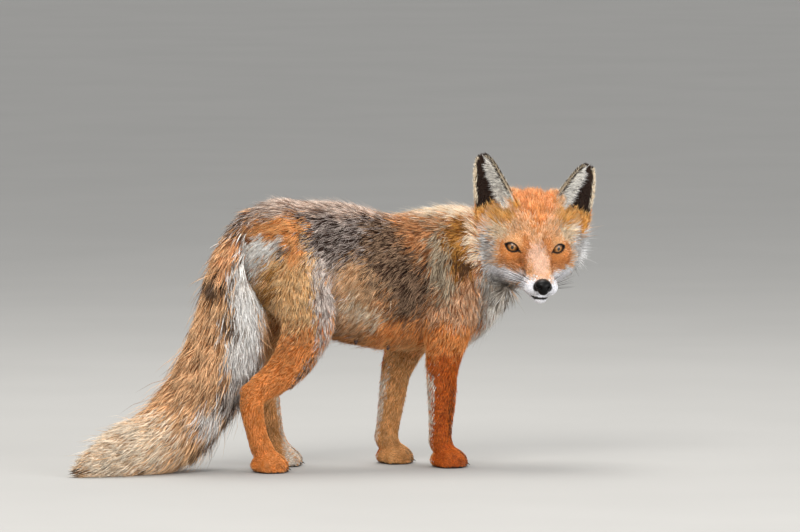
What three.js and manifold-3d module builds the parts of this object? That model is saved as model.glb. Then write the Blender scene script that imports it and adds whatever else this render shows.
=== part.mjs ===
// A life-size red fox standing still, its head turned square to its right side and its brush
// trailing down behind it to the ground. Millimetres. +X points the way the body faces, +Y to
// the animal's left and +Z up; the floor is z = 0.
//
// The flesh with its coat is one rounded field, a smooth union of limb segments and muscle
// masses. It is turned into faceted solids region by region, and thin cuts part the regions
// into the named nodes.
import * as THREE from "three";
import { mergeVertices } from "three/addons/utils/BufferGeometryUtils.js";
import Module from "manifold-3d";

const wasm = await Module();
wasm.setup();

// ---------------------------------------------------------------- driving dimensions

const GAP = 0.3; // between nodes that touch
const ROOM = 1.4 * GAP; // round a lock that lies over another node
const WELD = 0.002; // pitch of the grid that a finished node's vertices lie on

// Trunk stations along the back: x, height of the back and of the belly, half the width.
const TRUNK = [
  { x: -108, back: 370, belly: 262, half: 34 },
  { x: -82, back: 376, belly: 228, half: 46 },
  { x: -42, back: 376, belly: 196, half: 51 },
  { x: 0, back: 370, belly: 178, half: 55 },
  { x: 44, back: 358, belly: 168, half: 61 },
  { x: 88, back: 354, belly: 160, half: 63 },
  { x: 130, back: 357, belly: 163, half: 58 },
  { x: 165, back: 358, belly: 184, half: 50 },
];

// Neck, from inside the shoulders to behind the skull: centre, half width, half height.
const NECK = [
  { at: [140, 0, 285], half: 50, tall: 68 },
  { at: [180, 1, 287], half: 50, tall: 72 },
  { at: [222, 4, 297], half: 46, tall: 64 },
  { at: [258, 0, 306], half: 42, tall: 54 },
];

// The brush: centre of each station and its radius out to the tips of the hair.
const TAIL = [
  { at: [-120, 0, 352], r: 13 },
  { at: [-134, 0, 338], r: 19 },
  { at: [-146, 0, 313], r: 27 },
  { at: [-153, 1, 286], r: 35 },
  { at: [-155, 2, 252], r: 43 },
  { at: [-158, 3, 212], r: 52 },
  { at: [-167, 4, 173], r: 55 },
  { at: [-181, 4, 140], r: 54 },
  { at: [-202, 3, 107], r: 51 },
  { at: [-231, 0, 71], r: 50 },
  { at: [-266, -8, 47], r: 45 },
  { at: [-300, -17, 37], r: 38 },
  { at: [-336, -28, 25], r: 27 },
  { at: [-368, -37, 15], r: 17 },
  { at: [-396, -44, 7], r: 8 },
];
const TAIL_FLAT = 0.86; // the brush is a little narrower across than it is deep
// The solid core that closes up the locks' roots: its share of the radius, the distance between
// its rings and from the last one to the tip, and the sides of a ring.
const TAIL_CORE = { share: 0.48, every: 26, tip: 8, sides: 9 };

// Locks of long hair. Shares of the way along each one, with its width and thickness there.
const BLADE = [
  { at: 0, wide: 0.7, thick: 1 },
  { at: 0.22, wide: 1, thick: 1 },
  { at: 0.6, wide: 0.85, thick: 0.75 },
];
const TAIL_SEAM = 196; // distance from the root
const TAIL_LOCK = { length: 84, thick: 7, sunk: 6, every: 54, wide: 0.9, spacing: 60, fewest: 4 };
// The first row's distance from the root, the last row's from the tip, and how far the last
// locks may reach past it.
const TAIL_ROWS = { first: 2, last: 14, past: 6 };
// Where the brush is thinner than a radius, its rows come closer and its locks are thinner,
// down to a share of their full size at radius 0.
const CLOSER_ROWS = { least: 0.55, full: 36 };
const THINNER_LOCKS = { least: 0.3, full: 28 };

// Legs. Joint centres with half the thickness fore and aft and across.
const leg = (at, fore, side) => ({ at, fore, side });
const FORE_RIGHT = [
  leg([128, -34, 300], 40, 22),
  leg([150, -42, 240], 40, 26),
  leg([143, -47, 196], 35, 25),
  leg([138, -48, 164], 26, 20),
  leg([135, -47, 134], 21.5, 17),
  leg([135, -46, 95], 19, 15.5),
  leg([133, -46, 56], 15.5, 13.5),
  leg([132, -46, 34], 13.5, 13.5),
];
const FORE_LEFT = [
  leg([122, 34, 300], 40, 22),
  leg([138, 42, 240], 40, 26),
  leg([122, 44, 192], 34, 25),
  leg([108, 42, 160], 26, 20),
  leg([96, 40, 130], 20.5, 16.5),
  leg([89, 38, 92], 18, 14.5),
  leg([82, 36, 54], 15.5, 13),
  leg([79, 36, 34], 14, 13.5),
];
const HIND_RIGHT = [
  leg([-82, -28, 296], 46, 26),
  leg([-68, -40, 250], 43, 30),
  leg([-62, -47, 208], 38, 27),
  leg([-75, -50, 172], 31, 22),
  leg([-99, -50, 139], 25, 17),
  leg([-139, -50, 112], 17, 13.5),
  leg([-144, -49, 90], 15, 12.5),
  leg([-138, -48, 60], 13.5, 12),
  leg([-131, -48, 34], 13, 13.5),
];
const HIND_LEFT = [
  leg([-78, 28, 296], 46, 26),
  leg([-62, 40, 250], 43, 30),
  leg([-57, 46, 208], 37, 27),
  leg([-63, 47, 172], 31, 22),
  leg([-72, 46, 139], 24, 17),
  leg([-92, 46, 113], 17, 13.5),
  leg([-91, 45, 92], 15, 12.5),
  leg([-86, 44, 60], 13.5, 12),
  leg([-82, 44, 34], 13, 13.5),
];
const HEEL = { back: 13, up: 4, r: 8 }; // the point of the hock, off its joint
const PAW = { ahead: 31, width: 42 };
const PAD = { lead: 5, up: 11, half: [20, 15, 12] }; // ahead of the leg's last station
const INSTEP = [[0, 38, 13, 13], [6, 25, 13.5, 12.5], [12, 15, 15, 11]]; // lead, height, halves
const TOE = { half: [16, 6.9, 10], sunk: 1.2, slope: 8, apart: 0.25 };
const TOES_AT = [[-1.5, -7], [-0.5, 0], [0.5, 0], [1.5, -7]]; // place across, lead ahead
const CLAW = { length: 12, r: 2, up: 6.5, drop: 25 };

// Head, in its own frame: origin midway between the pupils, x to the nose, y left, z up.
const HEAD_AT = [262, -78, 307];
const HEAD_TURN = -99; // degrees the face is turned from the way the body faces
const HEAD_DROP = 13; // degrees the face looks down
const HEAD_TILT = 2.5; // degrees the left side of the face hangs lower
const EYE = { out: 30, back: 9, r: 10.5, splay: 18, lid: 2.6 };
const EYE_SLIT = { length: 24, height: 13, tilt: 22 };
const NOSE = { at: [83, 0, -32], half: [9.5, 13.5, 10.5] };
const NOSTRILS = [
  { at: [92, 6, -31.5], half: [5, 2.8, 3.3], sides: 6 },
  { at: [88.5, 11, -34], half: [5, 3, 1.5], sides: 6 },
];
const EAR = { half: 30, cup: 20, wall: 3.2, rim: 1.5, sunk: 0.18, blunt: 0.46, bend: 6 };
// Rows of its facets: how many up and across, how high they go, and how they crowd to the tip.
const EAR_NET = { levels: 7, steps: 6, top: 0.975, crowd: 0.85 };
const EAR_ROOT = [-40, 47, 40];
const EAR_TIPS = { right: [-47, 79, 117], left: [-47, 77, 107] };
const EAR_OPENS = { right: [0.85, 0.45, 0.1], left: [1, 0.15, 0.1] };

// Cheek ruff: the spot inside the cheek that its locks fan out from, in the head's frame, and
// their rows from front to back with the angle of each lock round the cheek, 0 out and 90 up.
// On each side: how far the fan leans to the front, and the lie of the hair.
const RUFF = { from: [-30, 26, -12], sunk: 5, length: 38, lift: 7, wide: 20, thick: 5 };
const RUFF_SIDES = {
  right: { lean: 0.5, lie: [-0.45, -0.1, -0.9] },
  left: { lean: 0.05, lie: [-0.85, 0.22, -0.4] },
};
const RUFF_ROWS = [
  { ahead: 14, angles: [-56, -18] },
  { ahead: -4, angles: [-60, -26, 10] },
  { ahead: -22, angles: [-56, -20, 18] },
];

// Throat and breast fur: the core that its locks grow from, from under the jaw to between the
// shoulders, and the locks' rows with their angles to each side of the middle.
const BIB = [
  { at: [230, -42, 244], r: 14 },
  { at: [212, -26, 224], r: 15 },
  { at: [194, -8, 211], r: 22 },
  { at: [178, 0, 199], r: 27 },
];
const BIB_LOCK = { sunk: 6, length: 37, lift: 6, wide: 23, thick: 6 };
const BIB_ROWS = [
  { share: 0.02, angles: [-66, -22, 22, 66] },
  { share: 0.32, angles: [-80, -40, 0, 40, 80] },
  { share: 0.64, angles: [-60, -20, 20, 60] },
];

// The line between the lips seen from the side, x and z in the head's frame, from in front of
// the nose to the corner of the mouth and down behind the jaw.
const MOUTH = [
  [104, -46.5], [84, -47], [74, -49], [60, -50.5], [40, -47], [24, -41], [14, -36], [13, -52], [16, -110],
];
const MOUTH_GAP = 0.7;

// Edge lengths of the facets, fore and aft, across and up.
const COARSE = [24, 17, 20];
const MIDDLE = [15, 12, 16];
const FINE = [11, 10, 17];
const PADS = [10, 9, 9];
const FACE = [8.6, 9, 8.2];
const NAPE = [14, 13, 14];

// Corners of the blocks that the parts' fields are read in.
const BLOCKS = {
  rump: [[-175, -80, 150], [20, 80, 400]],
  belly: [[-30, -90, 130], [100, 90, 400]],
  chest: [[55, -90, 130], [250, 90, 400]],
  neck: [[150, -100, 170], [330, 80, 400]],
  head: [[165, -190, 215], [365, 60, 400]],
};
const LEG_BLOCK = { margin: 75, below: 12, paw: 60 };

// How widely the masses run into each other.
const BLEND = { joint: 3, muscles: 26, neck: 30, bib: 16, limb: 16, head: 20, heel: 8, paw: 6 };
const FACE_BLEND = { skull: 12, lips: 7, jaw: 6 };
const HEAD_REACH = 190; // from the middle of the head, as far as its field matters

const ORANGE = "#b8642c";
const SAND = "#b08a5c";
const UMBER = "#5b4636";
const CREAM = "#d9d2c6";
const BLACK = "#17130f";
const AMBER = "#a8742c";

// ---------------------------------------------------------------- vectors and fields

const add = (a, b) => [a[0] + b[0], a[1] + b[1], a[2] + b[2]];
const sub = (a, b) => [a[0] - b[0], a[1] - b[1], a[2] - b[2]];
const times = (a, k) => [a[0] * k, a[1] * k, a[2] * k];
const dot = (a, b) => a[0] * b[0] + a[1] * b[1] + a[2] * b[2];
const cross = (a, b) => [
  a[1] * b[2] - a[2] * b[1],
  a[2] * b[0] - a[0] * b[2],
  a[0] * b[1] - a[1] * b[0],
];
const size = (a) => Math.hypot(...a);
const unit = (a) => times(a, 1 / size(a));
const mix = (a, b, t) => a + (b - a) * t;
const rad = THREE.MathUtils.degToRad;

// A smooth curve through numbers, at station i and share t of the way to the next one.
function through(list, i, t) {
  const at = (k) => list[Math.min(Math.max(k, 0), list.length - 1)];
  const [p, q, r, s] = [at(i - 1), at(i), at(i + 1), at(i + 2)];
  const bend = 2 * q + (r - p) * t + (2 * p - 5 * q + 4 * r - s) * t * t;
  return 0.5 * (bend + (3 * q - p - 3 * r + s) * t * t * t);
}

// Stations as [x, y, z, side, fore] rows, made finer by the smooth curve.
function finer(rows, share = 3) {
  const out = [];
  for (let i = 0; i < rows.length - 1; i++)
    for (let k = 0; k < share; k++)
      out.push(rows[0].map((_, c) => through(rows.map((r) => r[c]), i, k / share)));
  out.push(rows[rows.length - 1]);
  return out;
}

// The distance to an ellipsoid-like surface where a point's offsets along three square
// directions are p, q and r and the half sizes along them are a, b and c.
function ovalDistance(p, q, r, a, b, c) {
  const [u, v, w] = [p / a, q / b, r / c];
  const near = Math.sqrt(u * u + v * v + w * w);
  const [du, dv, dw] = [u / a, v / b, w / c];
  const slope = Math.sqrt(du * du + dv * dv + dw * dw);
  return slope < 1e-9 ? -Math.min(a, b, c) : (near * (near - 1)) / slope;
}

// A piece of limb between two stations, with an elliptical section: side is the half size
// along the given side direction and fore the one square to it.
function segment(a, b, side) {
  const from = a.slice(0, 3);
  const along = sub(b.slice(0, 3), from);
  const length = size(along);
  const axis = times(along, 1 / length);
  const fore = unit(cross(axis, side));
  const across = cross(fore, axis);
  const middle = add(from, times(along, 0.5));
  const reach = length / 2 + Math.max(a[3], a[4], b[3], b[4]);
  const distance = (x, y, z) => {
    const [p, q, r] = [x - from[0], y - from[1], z - from[2]];
    const run = p * axis[0] + q * axis[1] + r * axis[2];
    const t = Math.min(Math.max(run / length, 0), 1);
    const wide = mix(a[3], b[3], t);
    const deep = mix(a[4], b[4], t);
    const s = p * across[0] + q * across[1] + r * across[2];
    const f = p * fore[0] + q * fore[1] + r * fore[2];
    return ovalDistance(s, f, run - t * length, wide, deep, (wide + deep) / 2);
  };
  return { distance, middle, reach };
}

// An ellipsoid with its half sizes along x, y and z.
function blob(middle, half) {
  const [x0, y0, z0] = middle;
  const distance = (x, y, z) => ovalDistance(x - x0, y - y0, z - z0, ...half);
  return { distance, middle, reach: Math.max(...half) };
}

const blend = (a, b, k) => {
  const h = Math.max(k - Math.abs(a - b), 0) / k;
  return Math.min(a, b) - (h * h * k) / 4;
};

// The smooth union of many pieces. A piece too far off to matter isn't evaluated.
function union(pieces, k) {
  return (x, y, z) => {
    let d = 1e3;
    for (const { middle, reach, distance } of pieces) {
      const [p, q, r] = [x - middle[0], y - middle[1], z - middle[2]];
      const limit = d + k + reach;
      if (p * p + q * q + r * r < limit * limit) d = blend(d, distance(x, y, z), k);
    }
    return d;
  };
}

// A chain of segments through stations, welded with only a slight swell at each joint.
function chain(rows, side) {
  const fine = finer(rows);
  return union(fine.slice(1).map((b, i) => segment(fine[i], b, side)), BLEND.joint);
}

// ---------------------------------------------------------------- the fox's field

const ACROSS = [0, 1, 0];

const trunkRows = TRUNK.map((s) => [
  s.x, 0, (s.back + s.belly) / 2, s.half, (s.back - s.belly) / 2,
]);
const trunk = chain(trunkRows, ACROSS);
const neck = chain(NECK.map((s) => [...s.at, s.half, s.tall]), ACROSS);
const bib = chain(BIB.map((s) => [...s.at, s.r, s.r]), ACROSS);
const legField = (stations) => chain(stations.map((s) => [...s.at, s.side, s.fore]), ACROSS);

// Breast, rump and buttock masses, and the point of each shoulder.
const muscles = union(
  [
    blob([168, 0, 226], [52, 44, 54]),
    blob([-88, 0, 318], [46, 44, 52]),
    blob([-100, -30, 268], [30, 26, 46]),
    blob([-94, 30, 268], [30, 26, 46]),
  ],
  20,
);

// The toes of the paw under the last station of a leg: where each one's tip is.
const toePlaces = (stations) => {
  const [x, y] = stations[stations.length - 1].at;
  return TOES_AT.map(([place, lead]) => [x + PAW.ahead + lead, y + place * PAW.width * TOE.apart]);
};
const pawField = (stations) => {
  const [x, y] = stations[stations.length - 1].at;
  const pad = blob([x + PAD.lead, y, PAD.up], PAD.half).distance;
  const instep = chain(INSTEP.map(([lead, up, ...halves]) => [x + lead, y, up, ...halves]), ACROSS);
  return (...at) => blend(pad(...at), instep(...at), BLEND.paw);
};

function heelField(stations) {
  const hock = stations[5].at;
  const point = add(hock, [-HEEL.back, 0, HEEL.up]);
  return segment([...hock, 12, 13], [...point, HEEL.r, HEEL.r], ACROSS).distance;
}

const LEGS = [FORE_RIGHT, FORE_LEFT, HIND_RIGHT, HIND_LEFT];
const hipFields = LEGS.map((stations) => legField(stations.slice(0, 4)));
const legFields = LEGS.map(legField);
const pawFields = LEGS.map(pawField);
const heelFields = [HIND_RIGHT, HIND_LEFT].map(heelField);

// Head frame, from the head's own coordinates to the body's.
const headFrame = new THREE.Matrix4()
  .makeTranslation(...HEAD_AT)
  .multiply(new THREE.Matrix4().makeRotationZ(rad(HEAD_TURN)))
  .multiply(new THREE.Matrix4().makeRotationY(rad(HEAD_DROP)))
  .multiply(new THREE.Matrix4().makeRotationX(rad(-HEAD_TILT)));
const intoHead = headFrame.clone().invert().elements;
const toHead = (x, y, z) =>
  [0, 1, 2].map(
    (i) => intoHead[i] * x + intoHead[4 + i] * y + intoHead[8 + i] * z + intoHead[12 + i],
  );
const fromHead = (p) => new THREE.Vector3(...p).applyMatrix4(headFrame).toArray();

const sideName = (side) => (side < 0 ? "right" : "left");
const bothSides = (middle, half) =>
  [-1, 1].map((side) => blob([middle[0], side * middle[1], middle[2]], half));
const skull = union(
  [
    blob([-46, 0, 20], [46, 46, 51]),
    ...bothSides([-34, 34, -19], [37, 33, 36]),
    ...bothSides([-15, 27, 11], [13, 14, 10]),
    ...bothSides([-46, 44, 13], [25, 28, 37]),
    ...bothSides([-31, 38, -13], [24, 24, 27]),
    ...bothSides([-12, 24, -36], [30, 20, 18]),
    ...bothSides([-42, 30, 51], [21, 19, 23]),
  ],
  FACE_BLEND.skull,
);
const muzzle = chain(
  [
    [-36, 0, 24, 41, 40],
    [-15, 0, 8, 32, 27],
    [4, 0, -8, 22, 19],
    [25, 0, -17, 19, 19],
    [50, 0, -24, 16, 15],
    [72, 0, -29.5, 12.5, 10.5],
  ],
  ACROSS,
);
const lips = union(bothSides([58, 12, -37], [22, 15, 13]), FACE_BLEND.jaw);
const lowerJaw = chain(
  [
    [-20, 0, -46, 30, 19],
    [20, 0, -48, 20, 13],
    [50, 0, -50, 13, 10],
    [67, 0, -51, 10, 9],
  ],
  ACROSS,
);
function headField(x, y, z) {
  const d = blend(skull(x, y, z), muzzle(x, y, z), FACE_BLEND.skull);
  return blend(blend(d, lips(x, y, z), FACE_BLEND.lips), lowerJaw(x, y, z), FACE_BLEND.jaw);
}

const bodyField = (x, y, z, limbs) => {
  let d = blend(trunk(x, y, z), muscles(x, y, z), BLEND.muscles);
  d = blend(d, neck(x, y, z), BLEND.neck);
  d = blend(d, bib(x, y, z), BLEND.bib);
  for (const f of limbs) d = blend(d, f(x, y, z), BLEND.limb);
  const far = Math.hypot(x - HEAD_AT[0], y - HEAD_AT[1], z - HEAD_AT[2]);
  return far > HEAD_REACH ? d : blend(d, headField(...toHead(x, y, z)), BLEND.head);
};
const torso = (x, y, z) => bodyField(x, y, z, hipFields);
const fox = (x, y, z) => {
  let d = bodyField(x, y, z, legFields);
  for (const f of heelFields) d = blend(d, f(x, y, z), BLEND.heel);
  for (const f of pawFields) d = blend(d, f(x, y, z), BLEND.paw);
  return d;
};

// ---------------------------------------------------------------- from a field to a solid

// Surface nets: one vertex in each cell that the surface crosses, then moved onto it.
function netOf(field, low, high, step) {
  const n = low.map((l, i) => Math.ceil((high[i] - l) / step[i]) + 1);
  const stride = [1, n[0], n[0] * n[1]];
  const value = new Float32Array(n[0] * n[1] * n[2]);
  const place = (i, j, k) => [low[0] + i * step[0], low[1] + j * step[1], low[2] + k * step[2]];
  for (let k = 0; k < n[2]; k++)
    for (let j = 0; j < n[1]; j++)
      for (let i = 0; i < n[0]; i++) {
        const rim = [i, j, k].some((v, c) => v === 0 || v === n[c] - 1);
        const d = field(...place(i, j, k));
        value[i + j * stride[1] + k * stride[2]] = rim ? Math.max(d, 0.4 * step[0]) : d;
      }
  fillDiagonals(value, stride);
  const vertexOf = new Map();
  const position = [];
  const triangle = [];
  const vertexIn = (i, j, k) => {
    const cell = i + j * stride[1] + k * stride[2];
    if (vertexOf.has(cell)) return vertexOf.get(cell);
    const sum = [0, 0, 0];
    let crossed = 0;
    for (let a = 0; a < 3; a++)
      for (let c = 0; c < 4; c++) {
        const from = [i, j, k];
        from[(a + 1) % 3] += c & 1;
        from[(a + 2) % 3] += c >> 1;
        const at = from[0] + from[1] * stride[1] + from[2] * stride[2];
        const [u, v] = [value[at], value[at + stride[a]]];
        if (u < 0 === v < 0) continue;
        from[a] += u / (u - v);
        from.forEach((f, m) => (sum[m] += f));
        crossed++;
      }
    const p = place(...sum.map((s) => s / crossed));
    const rim = [i, j, k].some((v, c) => v === 0 || v >= n[c] - 2);
    position.push(...(rim ? p : ontoSurface(field, p, step)));
    vertexOf.set(cell, position.length / 3 - 1);
    return position.length / 3 - 1;
  };
  for (let k = 0; k < n[2] - 1; k++)
    for (let j = 0; j < n[1] - 1; j++)
      for (let i = 0; i < n[0] - 1; i++)
        for (let a = 0; a < 3; a++) {
          const at = i + j * stride[1] + k * stride[2];
          const [u, v] = [value[at], value[at + stride[a]]];
          if (u < 0 === v < 0) continue;
          const [b, c] = [(a + 1) % 3, (a + 2) % 3];
          const ring = [[0, 0], [1, 0], [1, 1], [0, 1]].map(([p, q]) => {
            const cell = [i, j, k];
            cell[b] -= p;
            cell[c] -= q;
            return vertexIn(...cell);
          });
          if (u >= 0) ring.reverse();
          triangle.push(...splitQuad(position, ring));
        }
  return solidFrom(position, triangle);
}

// Where only two opposite corners of a cell's face are inside, the surface would touch itself
// along an edge. The outer corner nearest to the surface is then counted as inside.
function fillDiagonals(value, stride) {
  let filled = 0;
  for (let axis = 0; axis < 3; axis++) {
    const [p, q] = [stride[(axis + 1) % 3], stride[(axis + 2) % 3]];
    for (let at = 0; at + p + q < value.length; at++) {
      const corners = [at, at + p, at + p + q, at + q];
      const inside = corners.map((c) => value[c] < 0);
      if (inside[0] !== inside[2] || inside[1] !== inside[3] || inside[0] === inside[1]) continue;
      const outer = corners.filter((c) => value[c] >= 0);
      value[value[outer[0]] < value[outer[1]] ? outer[0] : outer[1]] = -0.01;
      filled++;
    }
  }
  if (filled > 0) fillDiagonals(value, stride);
}

// Two triangles over the quad's shorter diagonal.
function splitQuad(position, [a, b, c, d]) {
  const apart = (p, q) =>
    Math.hypot(...[0, 1, 2].map((m) => position[3 * p + m] - position[3 * q + m]));
  return apart(a, c) <= apart(b, d) ? [a, b, c, a, c, d] : [a, b, d, b, c, d];
}

function slopeOf(field, at) {
  const d = field(...at);
  return [0, 1, 2].map((m) => {
    const ahead = at.slice();
    ahead[m] += 0.5;
    return (field(...ahead) - d) / 0.5;
  });
}

function ontoSurface(field, p, step) {
  let at = p;
  const limit = 0.45 * Math.min(...step);
  for (let turn = 0; turn < 3; turn++) {
    const slope = slopeOf(field, at);
    const steep = dot(slope, slope);
    if (steep < 1e-4) break;
    const move = times(slope, -field(...at) / steep);
    at = add(at, times(move, Math.min(1, limit / Math.max(size(move), 1e-6))));
  }
  const shift = sub(at, p);
  return size(shift) > limit ? add(p, times(unit(shift), limit)) : at;
}

function solidFrom(position, triangle) {
  return new wasm.Manifold(
    new wasm.Mesh({
      numProp: 3,
      vertProperties: new Float32Array(position),
      triVerts: new Uint32Array(triangle),
    }),
  );
}

// A closed three.js geometry as a solid.
function solidOf(geometry) {
  const bare = geometry.index ? geometry.toNonIndexed() : geometry.clone();
  bare.deleteAttribute("normal");
  bare.deleteAttribute("uv");
  const merged = mergeVertices(bare, 1e-4);
  return solidFrom(merged.attributes.position.array, merged.index.array);
}

// A plane through a point. keep() gives the solid's part on its normal's side, less the
// plane's margin, which is half the gap to the part on the other side.
const plane = (point, normal, margin = GAP / 2) => ({ point, normal: unit(normal), margin });
const flipped = (p) => ({ ...p, normal: times(p.normal, -1) });
const grown = (p) => ({ ...p, margin: -p.margin });
const keep = (solid, { point, normal, margin }) =>
  solid.trimByPlane(normal, dot(point, normal) + margin);
const cut = (solid, planes) => planes.reduce(keep, solid);
const FLOOR = plane([0, 0, 0], [0, 0, 1], 0);

// The convex space on the inner side of all these planes, a little larger than the part
// that cut() would leave there.
const spaceOf = (planes) => cut(solidOf(new THREE.BoxGeometry(1600, 1600, 1600)), planes.map(grown));

// A solid kept a gap away from its neighbours, each with the way that leads clear of it.
const clearOf = (solid, neighbours) =>
  neighbours.reduce((s, [n, way]) => s.subtract(n.translate(times(unit(way), GAP * 1.3))), solid);

function largest(solid) {
  const pieces = solid.decompose();
  return pieces.reduce((best, p) => (p.volume() > best.volume() ? p : best));
}

// The solid with vertices on a fine grid, so that none lie closer than its pitch. Faces that
// collapse are dropped, and so are pairs of faces that come to lie back to back.
function welded(solid) {
  const { numProp, numVert, vertProperties, triVerts } = solid.getMesh();
  const places = new Map();
  const placeOf = [];
  for (let i = 0; i < numVert; i++) {
    const row = vertProperties.subarray(i * numProp, i * numProp + 3);
    const key = Array.from(row, (v) => Math.round(v / WELD)).join();
    if (!places.has(key)) places.set(key, places.size);
    placeOf.push(places.get(key));
  }
  const faces = new Map();
  for (let i = 0; i < triVerts.length; i += 3) {
    const face = [0, 1, 2].map((k) => placeOf[triVerts[i + k]]);
    if (new Set(face).size < 3) continue;
    const key = face.toSorted().join();
    if (!faces.delete(key)) faces.set(key, face);
  }
  const position = [...places.keys()].flatMap((key) => key.split(",").map((v) => v * WELD));
  return { position, triangle: [...faces.values()].flat() };
}

function boxAround(rows, margin) {
  const low = [0, 1, 2].map((m) => Math.min(...rows.map((r) => r[m])) - margin);
  const high = [0, 1, 2].map((m) => Math.max(...rows.map((r) => r[m])) + margin);
  return [low, high];
}

// ---------------------------------------------------------------- cuts between the nodes

const headWay = (p) => sub(fromHead(p), fromHead([0, 0, 0]));
const RUMP_CUT = plane([-8, 0, 280], [1, 0, 0]);
const CHEST_CUT = plane([76, 0, 260], [1, 0, 0]);
const NECK_CUT = plane([196, 0, 280], [0.95, 0, 0.3]);
const HEAD_CUT = plane(fromHead([-72, -46, 0]), headWay([0.8, 0.6, 0.05]));
const TAIL_ROOT_CUT = plane([-140, 0, 326], [-0.62, 0, -0.6]);

// A leg's space is bounded towards the trunk: by its inner side, its top and its front or
// back. Planes across the leg part it into its lengths.
const inner = (side, out) => plane([0, side * out, 100], [0, side, -0.05]);
const FORE_TOP = plane([140, 0, 256], [0.35, 0, -1]);
const FORE_BACK = plane([86, 0, 250], [1, 0, -0.17]);
const HIND_TOP = plane([-80, 0, 318], [-0.25, 0, -1]);
const HIND_FRONT = flipped(RUMP_CUT);
const LEG_PARTS = {
  fore_right: {
    space: [inner(-1, 24), FORE_TOP, FORE_BACK, flipped(NECK_CUT)],
    joints: [plane([143, 0, 172], [0.1, 0, -1]), plane([140, 0, 40], [0, 0, -1])],
    names: ["upper", "lower", "paw"],
    stations: FORE_RIGHT,
  },
  fore_left: {
    space: [inner(1, 17), FORE_TOP, FORE_BACK, flipped(NECK_CUT)],
    joints: [plane([114, 0, 168], [-0.2, 0, -1]), plane([83, 0, 40], [0, 0, -1])],
    names: ["upper", "lower", "paw"],
    stations: FORE_LEFT,
  },
  hind_right: {
    space: [inner(-1, 24), HIND_TOP, HIND_FRONT],
    joints: [
      plane([-72, 0, 186], [-0.55, 0, -1]),
      plane([-141, 0, 104], [-0.25, 0, -1]),
      plane([-130, 0, 40], [0, 0, -1]),
    ],
    names: ["thigh", "shank", "foot", "paw"],
    stations: HIND_RIGHT,
  },
  hind_left: {
    space: [inner(1, 22), HIND_TOP, HIND_FRONT],
    joints: [
      plane([-48, 0, 186], [-0.55, 0, -1]),
      plane([-101, 0, 104], [-0.25, 0, -1]),
      plane([-80, 0, 40], [0, 0, -1]),
    ],
    names: ["thigh", "shank", "foot", "paw"],
    stations: HIND_LEFT,
  },
};

// ---------------------------------------------------------------- the head's own pieces

const onHead = (geometry) => solidOf(geometry.applyMatrix4(headFrame));
const oval = ({ at, half, sides = 12 }, side = 1, grow = 0) =>
  onHead(
    new THREE.SphereGeometry(1, sides, Math.round(sides * 0.7))
      .scale(...half.map((h) => h + grow))
      .translate(at[0], side * at[1], at[2]),
  );
const eyeball = (side, grow = 0) =>
  oval({ at: [-EYE.back, EYE.out, 0], half: [EYE.r, EYE.r, EYE.r] }, side, grow);

// The almond between the lids, as a prism from the middle of the eye outwards.
function eyeSlit(side) {
  const { length, height, tilt } = EYE_SLIT;
  const almond = new THREE.Shape();
  almond.moveTo(-length / 2, 0);
  almond.quadraticCurveTo(0, height, length / 2, 0);
  almond.quadraticCurveTo(0, -height, -length / 2, 0);
  const prism = new THREE.ExtrudeGeometry(almond, { depth: 30, bevelEnabled: false, curveSegments: 5 });
  prism.rotateZ(side * rad(tilt));
  prism.rotateX(Math.PI / 2).rotateZ(Math.PI / 2);
  prism.rotateZ(side * rad(EYE.splay));
  return onHead(prism.translate(-EYE.back, side * EYE.out, 0));
}

// A thin slab along a path drawn in x and z, right through the head.
function slab(path, thick) {
  const side = (k) =>
    path.map((p, i) => {
      const [a, b] = [path[Math.max(i - 1, 0)], path[Math.min(i + 1, path.length - 1)]];
      const run = Math.hypot(b[0] - a[0], b[1] - a[1]);
      const off = (k * thick) / 2 / run;
      return new THREE.Vector2(p[0] - off * (b[1] - a[1]), p[1] + off * (b[0] - a[0]));
    });
  const outline = new THREE.Shape([...side(1), ...side(-1).reverse()]);
  const band = new THREE.ExtrudeGeometry(outline, { depth: 200, bevelEnabled: false });
  return onHead(band.rotateX(Math.PI / 2).translate(0, 100, 0));
}

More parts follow.
